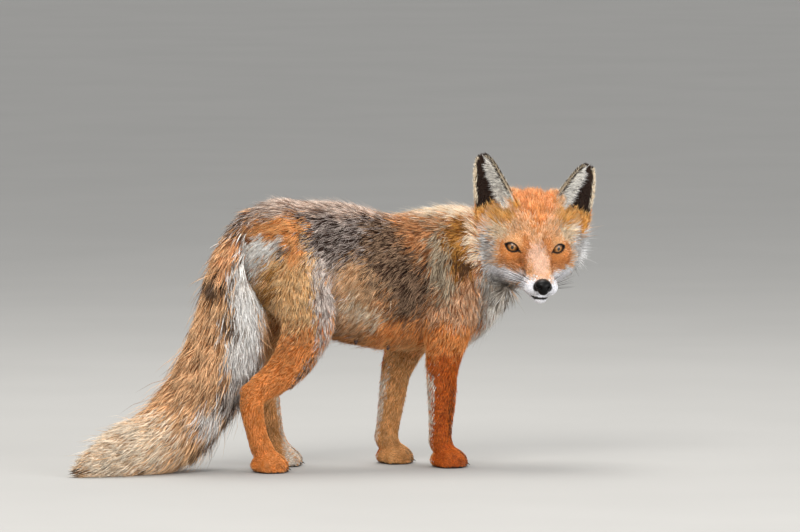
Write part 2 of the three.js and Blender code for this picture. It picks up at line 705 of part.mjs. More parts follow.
// The cup of an ear: a bent leaf whose section is a shallow arc, from a root sunk in the
// head to a blunt tip.
function ear(side) {
  const mirror = ([x, y, z]) => [x, side * y, z];
  const [root, tip] = [mirror(EAR_ROOT), mirror(EAR_TIPS[sideName(side)])];
  const along = sub(tip, root);
  const axis = unit(along);
  const opens = mirror(EAR_OPENS[sideName(side)]);
  const facing = unit(sub(opens, times(axis, dot(opens, axis))));
  const wide = cross(facing, axis);
  const { levels, steps, top, crowd } = EAR_NET;
  const position = [];
  for (let i = 0; i <= levels; i++) {
    const v = mix(-EAR.sunk, top, (i / levels) ** crowd);
    const half = EAR.half * Math.min(1, 1 - v) ** EAR.blunt;
    const cup = EAR.cup * Math.max(1 - v, 0.12) ** 0.8;
    const wall = mix(EAR.wall, EAR.rim, Math.max(v, 0));
    const middle = add(add(root, times(along, v)), times(facing, cup * 0.6 - EAR.bend * v * v));
    const point = (s, out) => {
      const slope = Math.hypot(half, 2 * cup * s);
      const [w, f] = [half * s + (out * 2 * cup * s) / slope, cup * (s * s - 1) - (out * half) / slope];
      return add(middle, add(times(wide, w), times(facing, f)));
    };
    for (let k = 0; k <= steps; k++) position.push(...point(mix(-1, 1, k / steps), 0));
    for (let k = steps; k >= 0; k--) position.push(...point(mix(-1, 1, k / steps), wall));
  }
  const ring = 2 * (steps + 1);
  const triangle = [];
  const quad = (a, b, c, d) => triangle.push(a, c, b, a, d, c);
  for (let i = 0; i < levels; i++)
    for (let k = 0; k < ring; k++) {
      const [a, b] = [i * ring + k, i * ring + ((k + 1) % ring)];
      quad(a, b, b + ring, a + ring);
    }
  for (let k = 0; k < steps; k++) {
    quad(k + 1, k, ring - 1 - k, ring - 2 - k);
    const last = levels * ring;
    quad(last + k, last + k + 1, last + ring - 2 - k, last + ring - 1 - k);
  }
  const leaf = new THREE.BufferGeometry();
  leaf.setAttribute("position", new THREE.Float32BufferAttribute(position, 3));
  leaf.setIndex(triangle);
  return { solid: onHead(leaf), axis: headWay(axis) };
}

// A claw: a spike of four sides from inside the toe's end.
function claw(tip, y) {
  const spike = new THREE.ConeGeometry(CLAW.r, CLAW.length, 4);
  spike.rotateX(Math.PI / 2).rotateZ(-Math.PI / 2).rotateY(rad(CLAW.drop));
  return solidOf(spike.translate(tip + CLAW.length * 0.25, y, CLAW.up));
}
function toe(tip, y) {
  const [long, , tall] = TOE.half;
  const ball = new THREE.SphereGeometry(1, 6, 5).rotateX(Math.PI / 2).scale(...TOE.half);
  return solidOf(ball.rotateY(rad(TOE.slope)).translate(tip - long, y, tall - TOE.sunk));
}

// ---------------------------------------------------------------- locks of long hair

// The same random numbers on every run, from 0 to 1.
let seed = 20;
function random() {
  seed = (seed * 16807) % 2147483647;
  return seed / 2147483647;
}
const around = (value, share) => value * (1 + share * (2 * random() - 1));

// A closed form through rings of points that run the same way round, flat at its start and
// ending flat too, or in a point where one is given.
function loft(rings, tip) {
  const n = rings[0].length;
  const position = rings.flat(2);
  const triangle = [];
  for (let i = 0; i < rings.length - 1; i++)
    for (let k = 0; k < n; k++) {
      const [a, b] = [i * n + k, i * n + ((k + 1) % n)];
      triangle.push(a, b, b + n, a, b + n, a + n);
    }
  const last = (rings.length - 1) * n;
  for (let k = 1; k < n - 1; k++) {
    triangle.push(0, k + 1, k);
    if (!tip) triangle.push(last, last + k, last + k + 1);
  }
  if (tip) {
    for (let k = 0; k < n; k++) triangle.push(last + k, last + ((k + 1) % n), position.length / 3);
    position.push(...tip);
  }
  return solidFrom(position, triangle);
}

// A lock: a flat tapered blade of four sides along a bent path, given as a function of the
// share of the way from root to tip, with its flat side facing out. Grown by a margin, it is
// the room that the lock needs.
function lock(path, out, width, thick, margin = 0) {
  const tip = unit(sub(path(1), path(0.9)));
  const rings = BLADE.map(({ at, wide, thick: deep }) => {
    const along = unit(sub(path(at + 0.1), path(Math.max(at - 0.1, 0))));
    const side = unit(cross(out, along));
    const up = cross(along, side);
    const middle = at > 0 ? path(at) : sub(path(0), times(along, margin));
    const [w, t] = [(wide * width) / 2 + margin, (deep * thick) / 2 + margin];
    const corners = [times(side, w), times(up, t), times(side, -w), times(up, -t)];
    return corners.map((c) => add(middle, c));
  });
  return loft(rings, add(path(1), times(tip, 4 * margin)));
}

// The way a blade leaves the skin: up out of it first, then bent over along the lie.
const rise = (t) => Math.sin((Math.PI / 2) * Math.min(Math.max(t, 0), 1)) ** 0.7;
const run = (t) => t * t * 0.45 + t * 0.55;

// A lock that grows where a line from inside the body, towards out, leaves the field's surface,
// and that follows the lie there.
function hair(field, from, out, lie, { sunk, length, lift, wide, thick }) {
  let [near, far] = [0, 90];
  while (far - near > 0.2) {
    const middle = (near + far) / 2;
    if (field(...add(from, times(out, middle))) < 0) near = middle;
    else far = middle;
  }
  const root = add(from, times(out, near));
  const up = unit(slopeOf(field, root));
  const flat = unit(sub(lie, times(up, dot(lie, up))));
  const [reach, height] = [around(length, 0.15), around(lift, 0.15)];
  const path = (t) =>
    add(root, add(times(flat, reach * run(t)), times(up, mix(-sunk, height, rise(t)))));
  return lock(path, up, around(wide, 0.12), thick);
}

function cheekRuff(side) {
  return RUFF_ROWS.flatMap(({ ahead, angles }) =>
    angles.map((angle) => {
      const turn = rad(around(angle, 0.06));
      const from = fromHead([RUFF.from[0] + ahead, side * RUFF.from[1], RUFF.from[2]]);
      const { lean, lie } = RUFF_SIDES[sideName(side)];
      const out = unit(headWay([lean, side * Math.cos(turn), Math.sin(turn)]));
      return hair(fox, from, out, headWay(lie), RUFF);
    }),
  );
}

const bibPath = finer(BIB.map((s) => s.at), 6);
function bibLocks() {
  return BIB_ROWS.flatMap(({ share, angles }) => {
    const i = Math.round(share * (bibPath.length - 2));
    const along = unit(sub(bibPath[i + 1], bibPath[i]));
    const side = unit(cross([0, 0, 1], along));
    const down = cross(side, along);
    return angles.map((angle) => {
      const turn = rad(around(angle, 0.08));
      const out = add(times(down, Math.cos(turn)), times(side, Math.sin(turn)));
      return { at: bibPath[i], solid: hair(fox, bibPath[i], out, along, BIB_LOCK) };
    });
  });
}

// The brush's middle line by distance from its root: place, radius and direction.
const tailLine = finer(TAIL.map((s) => [...s.at, s.r]), 6);
const tailRuns = tailLine.map((p, i) => (i ? size(sub(p.slice(0, 3), tailLine[i - 1].slice(0, 3))) : 0));
tailRuns.forEach((r, i) => (tailRuns[i] = i ? tailRuns[i - 1] + r : 0));
const TAIL_LENGTH = tailRuns[tailRuns.length - 1];
function tailAt(distance) {
  const d = Math.min(Math.max(distance, 0), TAIL_LENGTH - 0.01);
  const i = tailRuns.findIndex((r) => r > d) - 1;
  const t = (d - tailRuns[i]) / (tailRuns[i + 1] - tailRuns[i]);
  const row = tailLine[i].map((v, c) => mix(v, tailLine[i + 1][c], t));
  const along = unit(sub(tailLine[i + 1].slice(0, 3), tailLine[i].slice(0, 3)));
  const back = unit(cross(ACROSS, along));
  return { at: row.slice(0, 3), r: row[3], along, back, side: cross(along, back) };
}
const tailOut = ({ back, side }, turn) =>
  add(times(back, Math.cos(turn)), times(side, TAIL_FLAT * Math.sin(turn)));

const acrossTail = (d) => plane(tailAt(d).at, tailAt(d).along);

function tailCore() {
  const { share, every, tip, sides } = TAIL_CORE;
  const rings = [];
  for (let d = 0; d <= TAIL_LENGTH - tip; d += every) {
    const here = tailAt(d);
    const ring = [];
    for (let k = 0; k < sides; k++) {
      const out = tailOut(here, (2 * Math.PI * k) / sides);
      ring.push(add(here.at, times(out, here.r * share)));
    }
    rings.push(ring);
  }
  return loft(rings, tailAt(TAIL_LENGTH).at);
}

// The share of its full size that something has where the brush's radius is r.
const shareAt = (r, { least, full }) => Math.min(1, mix(least, 1, r / full));

// Rows of locks round the brush. Each lock is in its upper or lower length, and has the room
// that it takes up among the others.
function tailLocks() {
  const { length, thick, sunk, every, wide, spacing, fewest } = TAIL_LOCK;
  const locks = [];
  let row = 0;
  let d = TAIL_ROWS.first;
  while (d < TAIL_LENGTH - TAIL_ROWS.last) {
    row++;
    const count = Math.max(fewest, Math.round((2 * Math.PI * tailAt(d + length / 2).r) / spacing));
    for (let k = 0; k < count; k++) {
      const turn = (2 * Math.PI * (k + (row % 2) / 2 + 0.3 * (random() - 0.5))) / count;
      const root = around(d, 4 / Math.max(d, 8));
      const reach = Math.min(around(length, 0.16), TAIL_LENGTH + TAIL_ROWS.past - root);
      const swell = around(1, 0.05);
      const path = (t) => {
        const here = tailAt(root + reach * run(t));
        const inner = here.r * TAIL_CORE.share - sunk;
        return add(here.at, times(tailOut(here, turn), mix(inner, here.r * swell, rise(t))));
      };
      const middle = tailAt(root + reach / 2);
      const width = (wide * 2 * Math.PI * middle.r) / count;
      const deep = thick * shareAt(tailAt(root).r, THINNER_LOCKS);
      const blade = (margin) => lock(path, unit(tailOut(middle, turn)), width, deep, margin);
      locks.push({ upper: root < TAIL_SEAM, solid: blade(0), room: blade(ROOM) });
    }
    d += every * shareAt(tailAt(d).r, CLOSER_ROWS);
  }
  return locks;
}

// ---------------------------------------------------------------- the nodes

const group = new THREE.Group();

function addNode(name, solid, colour, roughness = 0.85) {
  const { position, triangle } = welded(largest(solid));
  const geometry = new THREE.BufferGeometry();
  geometry.setAttribute("position", new THREE.Float32BufferAttribute(position, 3));
  geometry.setIndex(triangle);
  geometry.computeVertexNormals();
  const material = new THREE.MeshStandardMaterial({ color: colour, roughness, metalness: 0 });
  const mesh = new THREE.Mesh(geometry, material);
  mesh.name = name;
  group.add(mesh);
}

// Trunk: rump, belly and chest, less the spaces of the legs.
const legSpaces = Object.values(LEG_PARTS).map((l) => spaceOf(l.space));
const clearOfLegs = (solid) => legSpaces.reduce((s, space) => s.subtract(space), solid);
const trunkPart = (block, planes) => clearOfLegs(cut(netOf(torso, ...block, COARSE), planes));
const rump = trunkPart(BLOCKS.rump, [flipped(RUMP_CUT)]);
addNode("rump", rump, UMBER);
addNode("belly", trunkPart(BLOCKS.belly, [RUMP_CUT, flipped(CHEST_CUT)]), SAND);
const chestPlanes = [CHEST_CUT, flipped(NECK_CUT)];
const breast = bibLocks();
const [throatLocks, chestLocks] = [1, -1].map((way) =>
  breast.filter(({ at }) => way * dot(sub(at, NECK_CUT.point), NECK_CUT.normal) > 0),
);
const withLocks = (solid, hairs) => hairs.reduce((s, { solid: blade }) => s.add(blade), solid);
const chest = withLocks(trunkPart(BLOCKS.chest, chestPlanes), chestLocks);
addNode("chest", clearOfLegs(cut(chest, chestPlanes)), SAND);

// Legs, from the trunk down to the sole.
const besideTail = [[rump, [-0.8, 0, -0.5]]]; // each solid with the way that leads clear of it
for (const [leg, { space, joints, names, stations }] of Object.entries(LEG_PARTS)) {
  names.forEach((part, i) => {
    const [low, high] = boxAround(stations.map((s) => s.at), LEG_BLOCK.margin);
    low[2] = -LEG_BLOCK.below;
    const planes = [...space, FLOOR];
    if (i > 0) planes.push(joints[i - 1]);
    if (i < joints.length) planes.push(flipped(joints[i]));
    const paw = part === "paw";
    if (paw) high[2] = LEG_BLOCK.paw;
    const step = paw ? PADS : i === 0 ? MIDDLE : FINE;
    let solid = netOf(fox, low, high, step);
    if (paw)
      for (const place of toePlaces(stations)) solid = solid.add(toe(...place)).add(claw(...place));
    solid = cut(solid, planes);
    if (part === "thigh" || part === "shank") {
      const side = Math.sign(stations[0].at[1]);
      besideTail.push([solid, [-1, 0, -0.4]], [solid, [-0.4, -side, 0]]);
    }
    addNode(`${leg}_${part}`, solid, ORANGE);
  });
}

// Brush: a core and its locks in two lengths. The upper one's last locks lie over the lower.
const core = tailCore();
const brushLocks = tailLocks();
const halfTail = (half, upper) =>
  brushLocks.reduce((s, l) => (l.upper === upper ? s.add(l.solid) : s), cut(core, [half]));
const belowSeam = acrossTail(TAIL_SEAM);
const upperTail = halfTail(flipped(belowSeam), true);
const lowerTail = brushLocks.reduce(
  (s, l) => (l.upper ? s.subtract(l.room) : s),
  cut(halfTail(belowSeam, false), [belowSeam]),
);
for (const [name, half] of [["tail_upper", upperTail], ["tail_lower", lowerTail]])
  addNode(name, clearOf(cut(half, [FLOOR, TAIL_ROOT_CUT]), besideTail), SAND);

// Neck.
const nape = cut(netOf(fox, ...BLOCKS.neck, NAPE), [NECK_CUT, flipped(HEAD_CUT)]);
addNode("neck", nape, SAND);

// Head, with the lids round the eyes, less the sockets, the nose's seat and the mouth's line.
let head = netOf(fox, ...BLOCKS.head, FACE);
for (const side of [-1, 1]) head = cheekRuff(side).reduce((s, blade) => s.add(blade), head);
head = cut(withLocks(head, throatLocks), [HEAD_CUT, NECK_CUT]);
for (const side of [-1, 1]) {
  head = head.add(eyeball(side, EYE.lid)).subtract(eyeSlit(side)).subtract(eyeball(side, GAP));
  addNode(`eye_${sideName(side)}`, eyeball(side), AMBER, 0.15);
}
head = head.subtract(oval(NOSE, 1, GAP));
const parts = head.subtract(slab(MOUTH, MOUTH_GAP)).decompose();
parts.sort((a, b) => b.volume() - a.volume());
addNode("head", parts[0], ORANGE);
addNode("jaw", parts[1], CREAM);
const nostrils = [-1, 1].flatMap((side) => NOSTRILS.map((n) => oval(n, side)));
addNode("nose", nostrils.reduce((s, n) => s.subtract(n), oval(NOSE)), BLACK, 0.4);
for (const side of [-1, 1]) {
  const { solid, axis } = ear(side);
  addNode(`ear_${sideName(side)}`, clearOf(solid, [[parts[0], axis], [nape, axis]]), SAND);
}

// The origin is the middle of the model's box, at the floor.
const box = new THREE.Box3().setFromObject(group);
const middle = box.getCenter(new THREE.Vector3());
group.position.set(-middle.x, -middle.y, -box.min.z);

export default group;
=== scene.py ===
"""A standing red fox with its head turned to its right: its skin, coat, eyes, nose, ears,
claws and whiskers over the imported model, with a pale floor, soft lights and the camera.

The skeleton's sizes are in millimetres in the skeleton's own frame: x forward, y to the
fox's left, z up, with the floor at z 0. MM and SHIFT bring them to the model's frame."""

from math import cos, pi, radians, sin

import bpy
import numpy as np
from mathutils import Matrix, Vector


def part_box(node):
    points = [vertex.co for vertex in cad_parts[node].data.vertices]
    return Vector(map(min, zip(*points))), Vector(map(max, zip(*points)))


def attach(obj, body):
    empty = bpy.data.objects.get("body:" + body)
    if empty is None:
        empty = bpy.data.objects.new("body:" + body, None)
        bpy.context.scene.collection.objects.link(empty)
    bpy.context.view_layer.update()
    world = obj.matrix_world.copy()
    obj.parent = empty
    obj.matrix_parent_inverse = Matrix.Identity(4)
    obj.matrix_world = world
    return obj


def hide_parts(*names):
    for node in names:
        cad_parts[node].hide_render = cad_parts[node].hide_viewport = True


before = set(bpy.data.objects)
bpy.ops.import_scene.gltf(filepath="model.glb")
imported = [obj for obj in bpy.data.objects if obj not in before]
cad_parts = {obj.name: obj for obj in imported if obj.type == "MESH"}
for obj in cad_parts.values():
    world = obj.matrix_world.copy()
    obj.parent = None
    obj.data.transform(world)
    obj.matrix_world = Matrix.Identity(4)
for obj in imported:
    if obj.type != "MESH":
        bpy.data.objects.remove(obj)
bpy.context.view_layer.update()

MM = 0.001
FAR = 1e3  # the distance where no part of the fox is near
ACROSS = np.array([0.0, 1.0, 0.0])
rng = np.random.default_rng(11)

# ---------------------------------------------------------------- the skeleton

# Trunk from rump to breast: x, back, belly, half width, depth of the coat.
TRUNK = [
    (-108, 370, 262, 34, 8), (-82, 376, 228, 46, 9), (-42, 376, 196, 51, 10), (0, 370, 178, 55, 10),
    (44, 358, 168, 61, 10), (88, 354, 160, 63, 11), (130, 357, 163, 58, 12),
    (165, 358, 184, 50, 12),
]
# Limbs, neck and brush as stations: x, y, z, half size across, half size fore and aft, depth.
NECK = [
    (140, 0, 285, 50, 68, 13), (180, 1, 287, 50, 72, 14), (222, 4, 297, 46, 64, 15),
    (258, 0, 306, 42, 54, 14),
]
BIB = [
    (230, -42, 244, 14, 14, 8), (212, -26, 224, 15, 15, 9), (194, -8, 211, 22, 22, 12),
    (178, 0, 199, 27, 27, 13),
]
LEGS = {
    "fore_right": [
        (128, -34, 300, 22, 40, 10), (150, -42, 240, 26, 40, 9), (143, -47, 196, 25, 35, 7),
        (138, -48, 164, 20, 26, 5), (135, -47, 134, 17, 21.5, 4), (135, -46, 95, 15.5, 19, 3.5),
        (133, -46, 56, 13.5, 15.5, 3), (132, -46, 34, 13.5, 13.5, 2.5),
    ],
    "fore_left": [
        (122, 34, 300, 22, 40, 10), (138, 42, 240, 26, 40, 9), (122, 44, 192, 25, 34, 7),
        (108, 42, 160, 20, 26, 5), (96, 40, 130, 16.5, 20.5, 4), (89, 38, 92, 14.5, 18, 3.5),
        (82, 36, 54, 13, 15.5, 3), (79, 36, 34, 13.5, 14, 2.5),
    ],
    "hind_right": [
        (-82, -28, 296, 26, 46, 9), (-68, -40, 250, 30, 43, 8), (-62, -47, 208, 27, 38, 7),
        (-75, -50, 172, 22, 31, 5), (-99, -50, 139, 17, 25, 4), (-139, -50, 112, 13.5, 17, 3),
        (-144, -49, 90, 12.5, 15, 2.5), (-138, -48, 60, 12, 13.5, 2.5),
        (-131, -48, 34, 13.5, 13, 2.5),
    ],
    "hind_left": [
        (-78, 28, 296, 26, 46, 9), (-62, 40, 250, 30, 43, 8), (-57, 46, 208, 27, 37, 7),
        (-63, 47, 172, 22, 31, 5), (-72, 46, 139, 17, 24, 4), (-92, 46, 113, 13.5, 17, 3),
        (-91, 45, 92, 12.5, 15, 2.5), (-86, 44, 60, 12, 13.5, 2.5), (-82, 44, 34, 13.5, 13, 2.5),
    ],
}
BRUSH = [
    (-120, 0, 352, 13), (-134, 0, 338, 19), (-146, 0, 313, 27), (-153, 1, 286, 35),
    (-155, 2, 252, 43), (-158, 3, 212, 52), (-167, 4, 173, 55), (-181, 4, 140, 54),
    (-202, 3, 107, 51), (-231, 0, 71, 50), (-266, -8, 47, 45), (-300, -17, 37, 38),
    (-336, -28, 25, 27), (-368, -37, 15, 17), (-396, -44, 7, 8),
]
BRUSH_FLAT = 0.86
BRUSH_CORE = 0.52
MUSCLES = [
    ((168, 0, 226), (52, 44, 54)), ((-88, 0, 318), (46, 44, 52)),
    ((-100, -30, 268), (30, 26, 46)), ((-94, 30, 268), (30, 26, 46)),
]
MUSCLE_DEPTH = 10
HEEL = {"back": 13, "up": 4, "r": 8}
PAW = {"ahead": 31, "width": 42}
PAD = {"lead": 5, "up": 11, "half": (20, 15, 12)}
TOE = (12, 6, 9.5)
TOES_AT = [(-1.5, -7), (-0.5, 0), (0.5, 0), (1.5, -7)]
PAW_DEPTH = 2
CLAW = {"length": 16, "r": 2.3, "up": 8.5, "drop": 10.5}
INSTEP = [(0, 0, 38, 13, 13, 2.5), (6, 0, 25, 13.5, 12.5, 2), (12, 0, 15, 15, 11, 2)]

# The head, in its own frame: x to the nose, y to its left, z up, from between the eyes.
HEAD_AT = np.array([262.0, -78.0, 307.0])
HEAD_TURN, HEAD_DROP, HEAD_TILT = -99, 13, 2.5
SKULL_MIDDLE = ((-46, 0, 20), (46, 46, 51))
SKULL_SIDES = [
    ((-34, 34, -19), (37, 33, 36)), ((-15, 27, 11), (13, 14, 10)), ((-46, 44, 13), (25, 28, 37)),
    ((-31, 38, -13), (24, 24, 27)), ((-12, 24, -36), (30, 20, 18)), ((-42, 30, 51), (21, 19, 23)),
]
MUZZLE = [
    (-36, 0, 24, 41, 40), (-15, 0, 8, 32, 27), (4, 0, -8, 22, 19),
    (25, 0, -17, 19, 19), (50, 0, -24, 16, 15), (72, 0, -29.5, 12.5, 10.5),
]
LIPS = [((58, 11.5, -37), (22, 13.5, 13))]
LOWER_JAW = [(-20, 0, -46, 30, 19), (20, 0, -48, 20, 13), (50, 0, -50, 13, 10), (67, 0, -51, 10, 9)]
EYE = {"out": 30, "back": 9, "r": 10.5, "splay": 18}
SLIT = {"length": 21.5, "height": 5.3, "tilt": 15}
NOSE_AT, NOSE_HALF = (83, 0, -32), (9.5, 13.5, 10.5)
MOUTH = [(84, -49.5), (74, -51.5), (60, -52.5), (40, -48), (24, -41.5), (14, -36)]
EAR = {"half": 30, "cup": 20, "wall": 3.2, "rim": 1.5, "sunk": 0.18, "blunt": 0.46, "bend": 6}
EAR_ROOT = (-40, 47, 40)
EAR_TIPS = {"right": (-47, 79, 117), "left": (-47, 77, 107)}
EAR_OPENS = {"right": (0.85, 0.45, 0.1), "left": (1, 0.15, 0.1)}
SIDES = {"right": -1, "left": 1}

# ---------------------------------------------------------------- vectors


def unit(a):
    """Each row of a at length 1."""
    a = np.asarray(a, float)
    return a / np.maximum(np.linalg.norm(a, axis=-1, keepdims=True), 1e-9)


def dot(a, b):
    """The dot product of the rows of a and b, kept as a column."""
    return np.sum(a * b, axis=-1, keepdims=True)


def smooth(low, high, value):
    """0 below low, 1 above high, and a smooth step between them."""
    t = np.clip((value - low) / (high - low), 0, 1)
    return t * t * (3 - 2 * t)


def mix(a, b, t):
    """From a at t 0 to b at t 1."""
    return a + (b - a) * t


def turn_about(axis, degrees):
    """The matrix that turns about the x, y or z axis."""
    return np.array(Matrix.Rotation(radians(degrees), 3, axis))


HEAD_ROT = turn_about("Z", HEAD_TURN) @ turn_about("Y", HEAD_DROP) @ turn_about("X", -HEAD_TILT)


def to_head(points):
    """Points of the skeleton's frame in the head's frame."""
    return (np.asarray(points, float) - HEAD_AT) @ HEAD_ROT


def from_head(points):
    """Points of the head's frame in the skeleton's frame."""
    return np.asarray(points, float) @ HEAD_ROT.T + HEAD_AT


def head_way(directions):
    """Directions of the head's frame in the skeleton's frame."""
    return np.asarray(directions, float) @ HEAD_ROT.T


def eye_middle(side):
    """The middle of an eyeball in the head's frame."""
    return -EYE["back"], side * EYE["out"], 0


def finer(rows, share=3):
    """Rows made finer by a smooth curve through each column."""
    rows = np.array(rows, float)
    padded = np.vstack([rows[0], rows, rows[-1]])
    out = []
    for i in range(len(rows) - 1):
        p, q, r, s = padded[i : i + 4]
        for t in np.arange(share) / share:
            bend = 2 * q + (r - p) * t + (2 * p - 5 * q + 4 * r - s) * t**2
            out.append(0.5 * (bend + (3 * q - p - 3 * r + s) * t**3))
    return np.array(out + [rows[-1]])


eye_low, eye_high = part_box("eye_right")
SHIFT = np.array((eye_low + eye_high) / 2) / MM - from_head(eye_middle(-1))

# ---------------------------------------------------------------- the fox's field


class Grid:
    """A block of evenly spaced points."""

    def __init__(self, low, high, step):
        self.low, self.step = np.array(low, float), step
        self.axes = [np.arange(l, h + step, step, dtype=np.float32) for l, h in zip(low, high)]
        self.shape = tuple(len(a) for a in self.axes)

    def near(self, middle, reach):
        """The part of the block within reach of a point, or None."""
        box = []
        for centre, axis in zip(middle, self.axes):
            first, last = np.searchsorted(axis, [centre - reach, centre + reach])
            if first == last:
                return None
            box.append(slice(first, last))
        return tuple(box)

    def points(self, box):
        """The three coordinates of that part, ready to broadcast."""
        x, y, z = (axis[part] for axis, part in zip(self.axes, box))
        return x[:, None, None], y[None, :, None], z[None, None, :]


class Cloud:
    """Points at any places, used as a Grid is."""

    def __init__(self, points):
        self.at = np.asarray(points, float)
        self.shape = (len(self.at),)

    def near(self, middle, reach):
        """Which of the points are within reach of a point, or None."""
        box = np.all(np.abs(self.at - np.asarray(middle)) < reach, axis=1)
        return box if box.any() else None

    def points(self, box):
        """The three coordinates of those points."""
        return tuple(self.at[box].T)


def oval_distance(p, q, r, a, b, c):
    """The distance to an oval surface with half sizes a, b, c along three square directions."""
    u, v, w = p / a, q / b, r / c
    near = np.sqrt(u * u + v * v + w * w)
    slope = np.sqrt((u / a) ** 2 + (v / b) ** 2 + (w / c) ** 2)
    return np.where(slope < 1e-7, -10.0, near * (near - 1) / np.maximum(slope, 1e-7))


def segment(a, b, side=ACROSS):
    """A piece of limb between two stations, as (middle, reach, distance, depth of the coat)."""
    start, along = a[:3], b[:3] - a[:3]
    length = np.linalg.norm(along)
    axis = along / length
    fore = unit(np.cross(axis, side))
    across = np.cross(fore, axis)

    def distance(x, y, z, bare):
        p, q, r = x - start[0], y - start[1], z - start[2]
        run = p * axis[0] + q * axis[1] + r * axis[2]
        t = np.clip(run / length, 0, 1)
        wide, deep, coat = (mix(a[i], b[i], t) for i in (3, 4, 5))
        s = p * across[0] + q * across[1] + r * across[2]
        f = p * fore[0] + q * fore[1] + r * fore[2]
        return oval_distance(s, f, run - t * length, wide, deep, (wide + deep) / 2) + bare * coat

    return start + along / 2, length / 2 + max(a[3], a[4], b[3], b[4]), distance


def blob(middle, half, depth=0.0, turn=np.eye(3)):
    """An ellipsoid with its half sizes along the columns of turn."""

    def distance(x, y, z, bare):
        p, q, r = x - middle[0], y - middle[1], z - middle[2]
        local = [p * turn[0, i] + q * turn[1, i] + r * turn[2, i] for i in range(3)]
        return oval_distance(*local, *half) + bare * depth

    return middle, max(half), distance


def chain(rows, side=ACROSS):
    """Segments through stations."""
    fine = finer(rows)
    return [segment(a, b, side) for a, b in zip(fine, fine[1:])]


def blend(a, b, k):
    """The smooth union of two fields."""
    h = np.maximum(k - np.abs(a - b), 0) / k
    return np.minimum(a, b) - h * h * k / 4


def weld(space, pieces, k, bare):
    """The smooth union of pieces. bare is 0 at the tips of the coat and 1 on the skin."""
    d = np.full(space.shape, FAR, np.float32)
    for middle, reach, distance in pieces:
        box = space.near(middle, reach + 45)
        if box is not None:
            d[box] = blend(d[box], distance(*space.points(box), bare), k)
    return d


def on_head(rows):
    """Stations of the head with their places in the skeleton's frame, and no coat."""
    rows = np.array(rows, float)
    return np.column_stack([from_head(rows[:, :3]), rows[:, 3:], np.zeros(len(rows))])


def head_blobs(forms, both=True):
    """Ellipsoids of the head, on both its sides."""
    return [
        blob(from_head((x, side * y, z)), half, 0, HEAD_ROT)
        for (x, y, z), half in forms
        for side in ((-1, 1) if both else (1,))
    ]


def toe_places(stations):
    """Where the tip of each toe is, x and y, under the last station of a leg."""
    x, y = stations[-1][:2]
    return [(x + PAW["ahead"] + lead, y + place * PAW["width"] * 0.25) for place, lead in TOES_AT]


def leg_pieces(stations, hind):
    """One leg's chain with its heel, pad and toes."""
    pieces = chain(stations)
    x, y = stations[-1][:2]
    pieces += chain([(x + row[0], y, *row[2:]) for row in INSTEP])
    pieces.append(blob((x + PAD["lead"], y, PAD["up"]), PAD["half"], PAW_DEPTH))
    if hind:
        hock = np.array(stations[5], float)
        point = hock.copy()
        point[:3] += (-HEEL["back"], 0, HEEL["up"])
        hock[3:], point[3:] = (12, 13, 3), (HEEL["r"], HEEL["r"], 3)
        pieces.append(segment(hock, point))
    return pieces


def toe_pieces(stations):
    """The toes under a leg's last station."""
    slope = turn_about("Y", 8)
    return [
        blob((tip - TOE[0], side, TOE[2] - 1.2), TOE, PAW_DEPTH, slope)
        for tip, side in toe_places(stations)
    ]


ACROSS_HEAD = head_way(ACROSS)
TRUNK_ROWS = [
    (x, 0, (back + belly) / 2, half, (back - belly) / 2, depth)
    for x, back, belly, half, depth in TRUNK
]
BRUSH_ROWS = [
    (x, y, z, r * BRUSH_FLAT, r, r * (1 - BRUSH_CORE) * 0.93) for x, y, z, r in BRUSH
]
BRUSH_ROWS[-1] = (*BRUSH_ROWS[-1][:-1], 13)  # the hair alone makes the brush's tip
PIECES = {
    "trunk": (chain(TRUNK_ROWS), 3),
    "muscles": ([blob(at, half, MUSCLE_DEPTH) for at, half in MUSCLES], 20),
    "neck": (chain(NECK), 3),
    "bib": (chain(BIB), 3),
    "skull": (head_blobs([SKULL_MIDDLE], False) + head_blobs(SKULL_SIDES), 12),
    "muzzle": (chain(on_head(MUZZLE), ACROSS_HEAD), 3),
    "lips": (head_blobs(LIPS), 6),
    "jaw": (chain(on_head(LOWER_JAW), ACROSS_HEAD), 3),
    "brush": (chain(BRUSH_ROWS), 3),
    **{name: (leg_pieces(rows, name[0] == "h"), 6) for name, rows in LEGS.items()},
    "toes": ([piece for rows in LEGS.values() for piece in toe_pieces(rows)], 0.6),
}
# The groups of pieces that a point of the coat can belong to.
GROUPS = ["trunk", "neck", "bib", "head", "brush", *LEGS]


def head_depth(x, y, z):
    """The coat's depth on the head: shortest on the muzzle and close round the eyes."""
    p, q, r = x - HEAD_AT[0], y - HEAD_AT[1], z - HEAD_AT[2]
    hx, hy, hz = (p * HEAD_ROT[0, i] + q * HEAD_ROT[1, i] + r * HEAD_ROT[2, i] for i in range(3))
    depth = 1.3 + 1.2 * smooth(55, 5, hx) + 6.5 * smooth(0, -55, hx)
    eye = np.sqrt(hx**2 + (np.abs(hy) - EYE["out"]) ** 2 + hz**2)
    return depth * mix(0.12, 1, smooth(12, 27, eye))


def group_fields(space, bare):
    """The distance to each group of pieces."""
    d = {name: weld(space, pieces, k, bare) for name, (pieces, k) in PIECES.items()}
    toes = d.pop("toes")
    for name in LEGS:
        d[name] = blend(d[name], toes, 2.5)
    trunk = blend(d.pop("trunk"), d.pop("muscles"), 26)
    head = blend(d.pop("skull"), d.pop("muzzle"), 12)
    head = blend(blend(head, d.pop("lips"), 7), d.pop("jaw"), 6)
    box = space.near(HEAD_AT, 160)
    if bare and box is not None:
        head[box] += bare * head_depth(*space.points(box))
    return {"trunk": trunk, "head": head, **d}


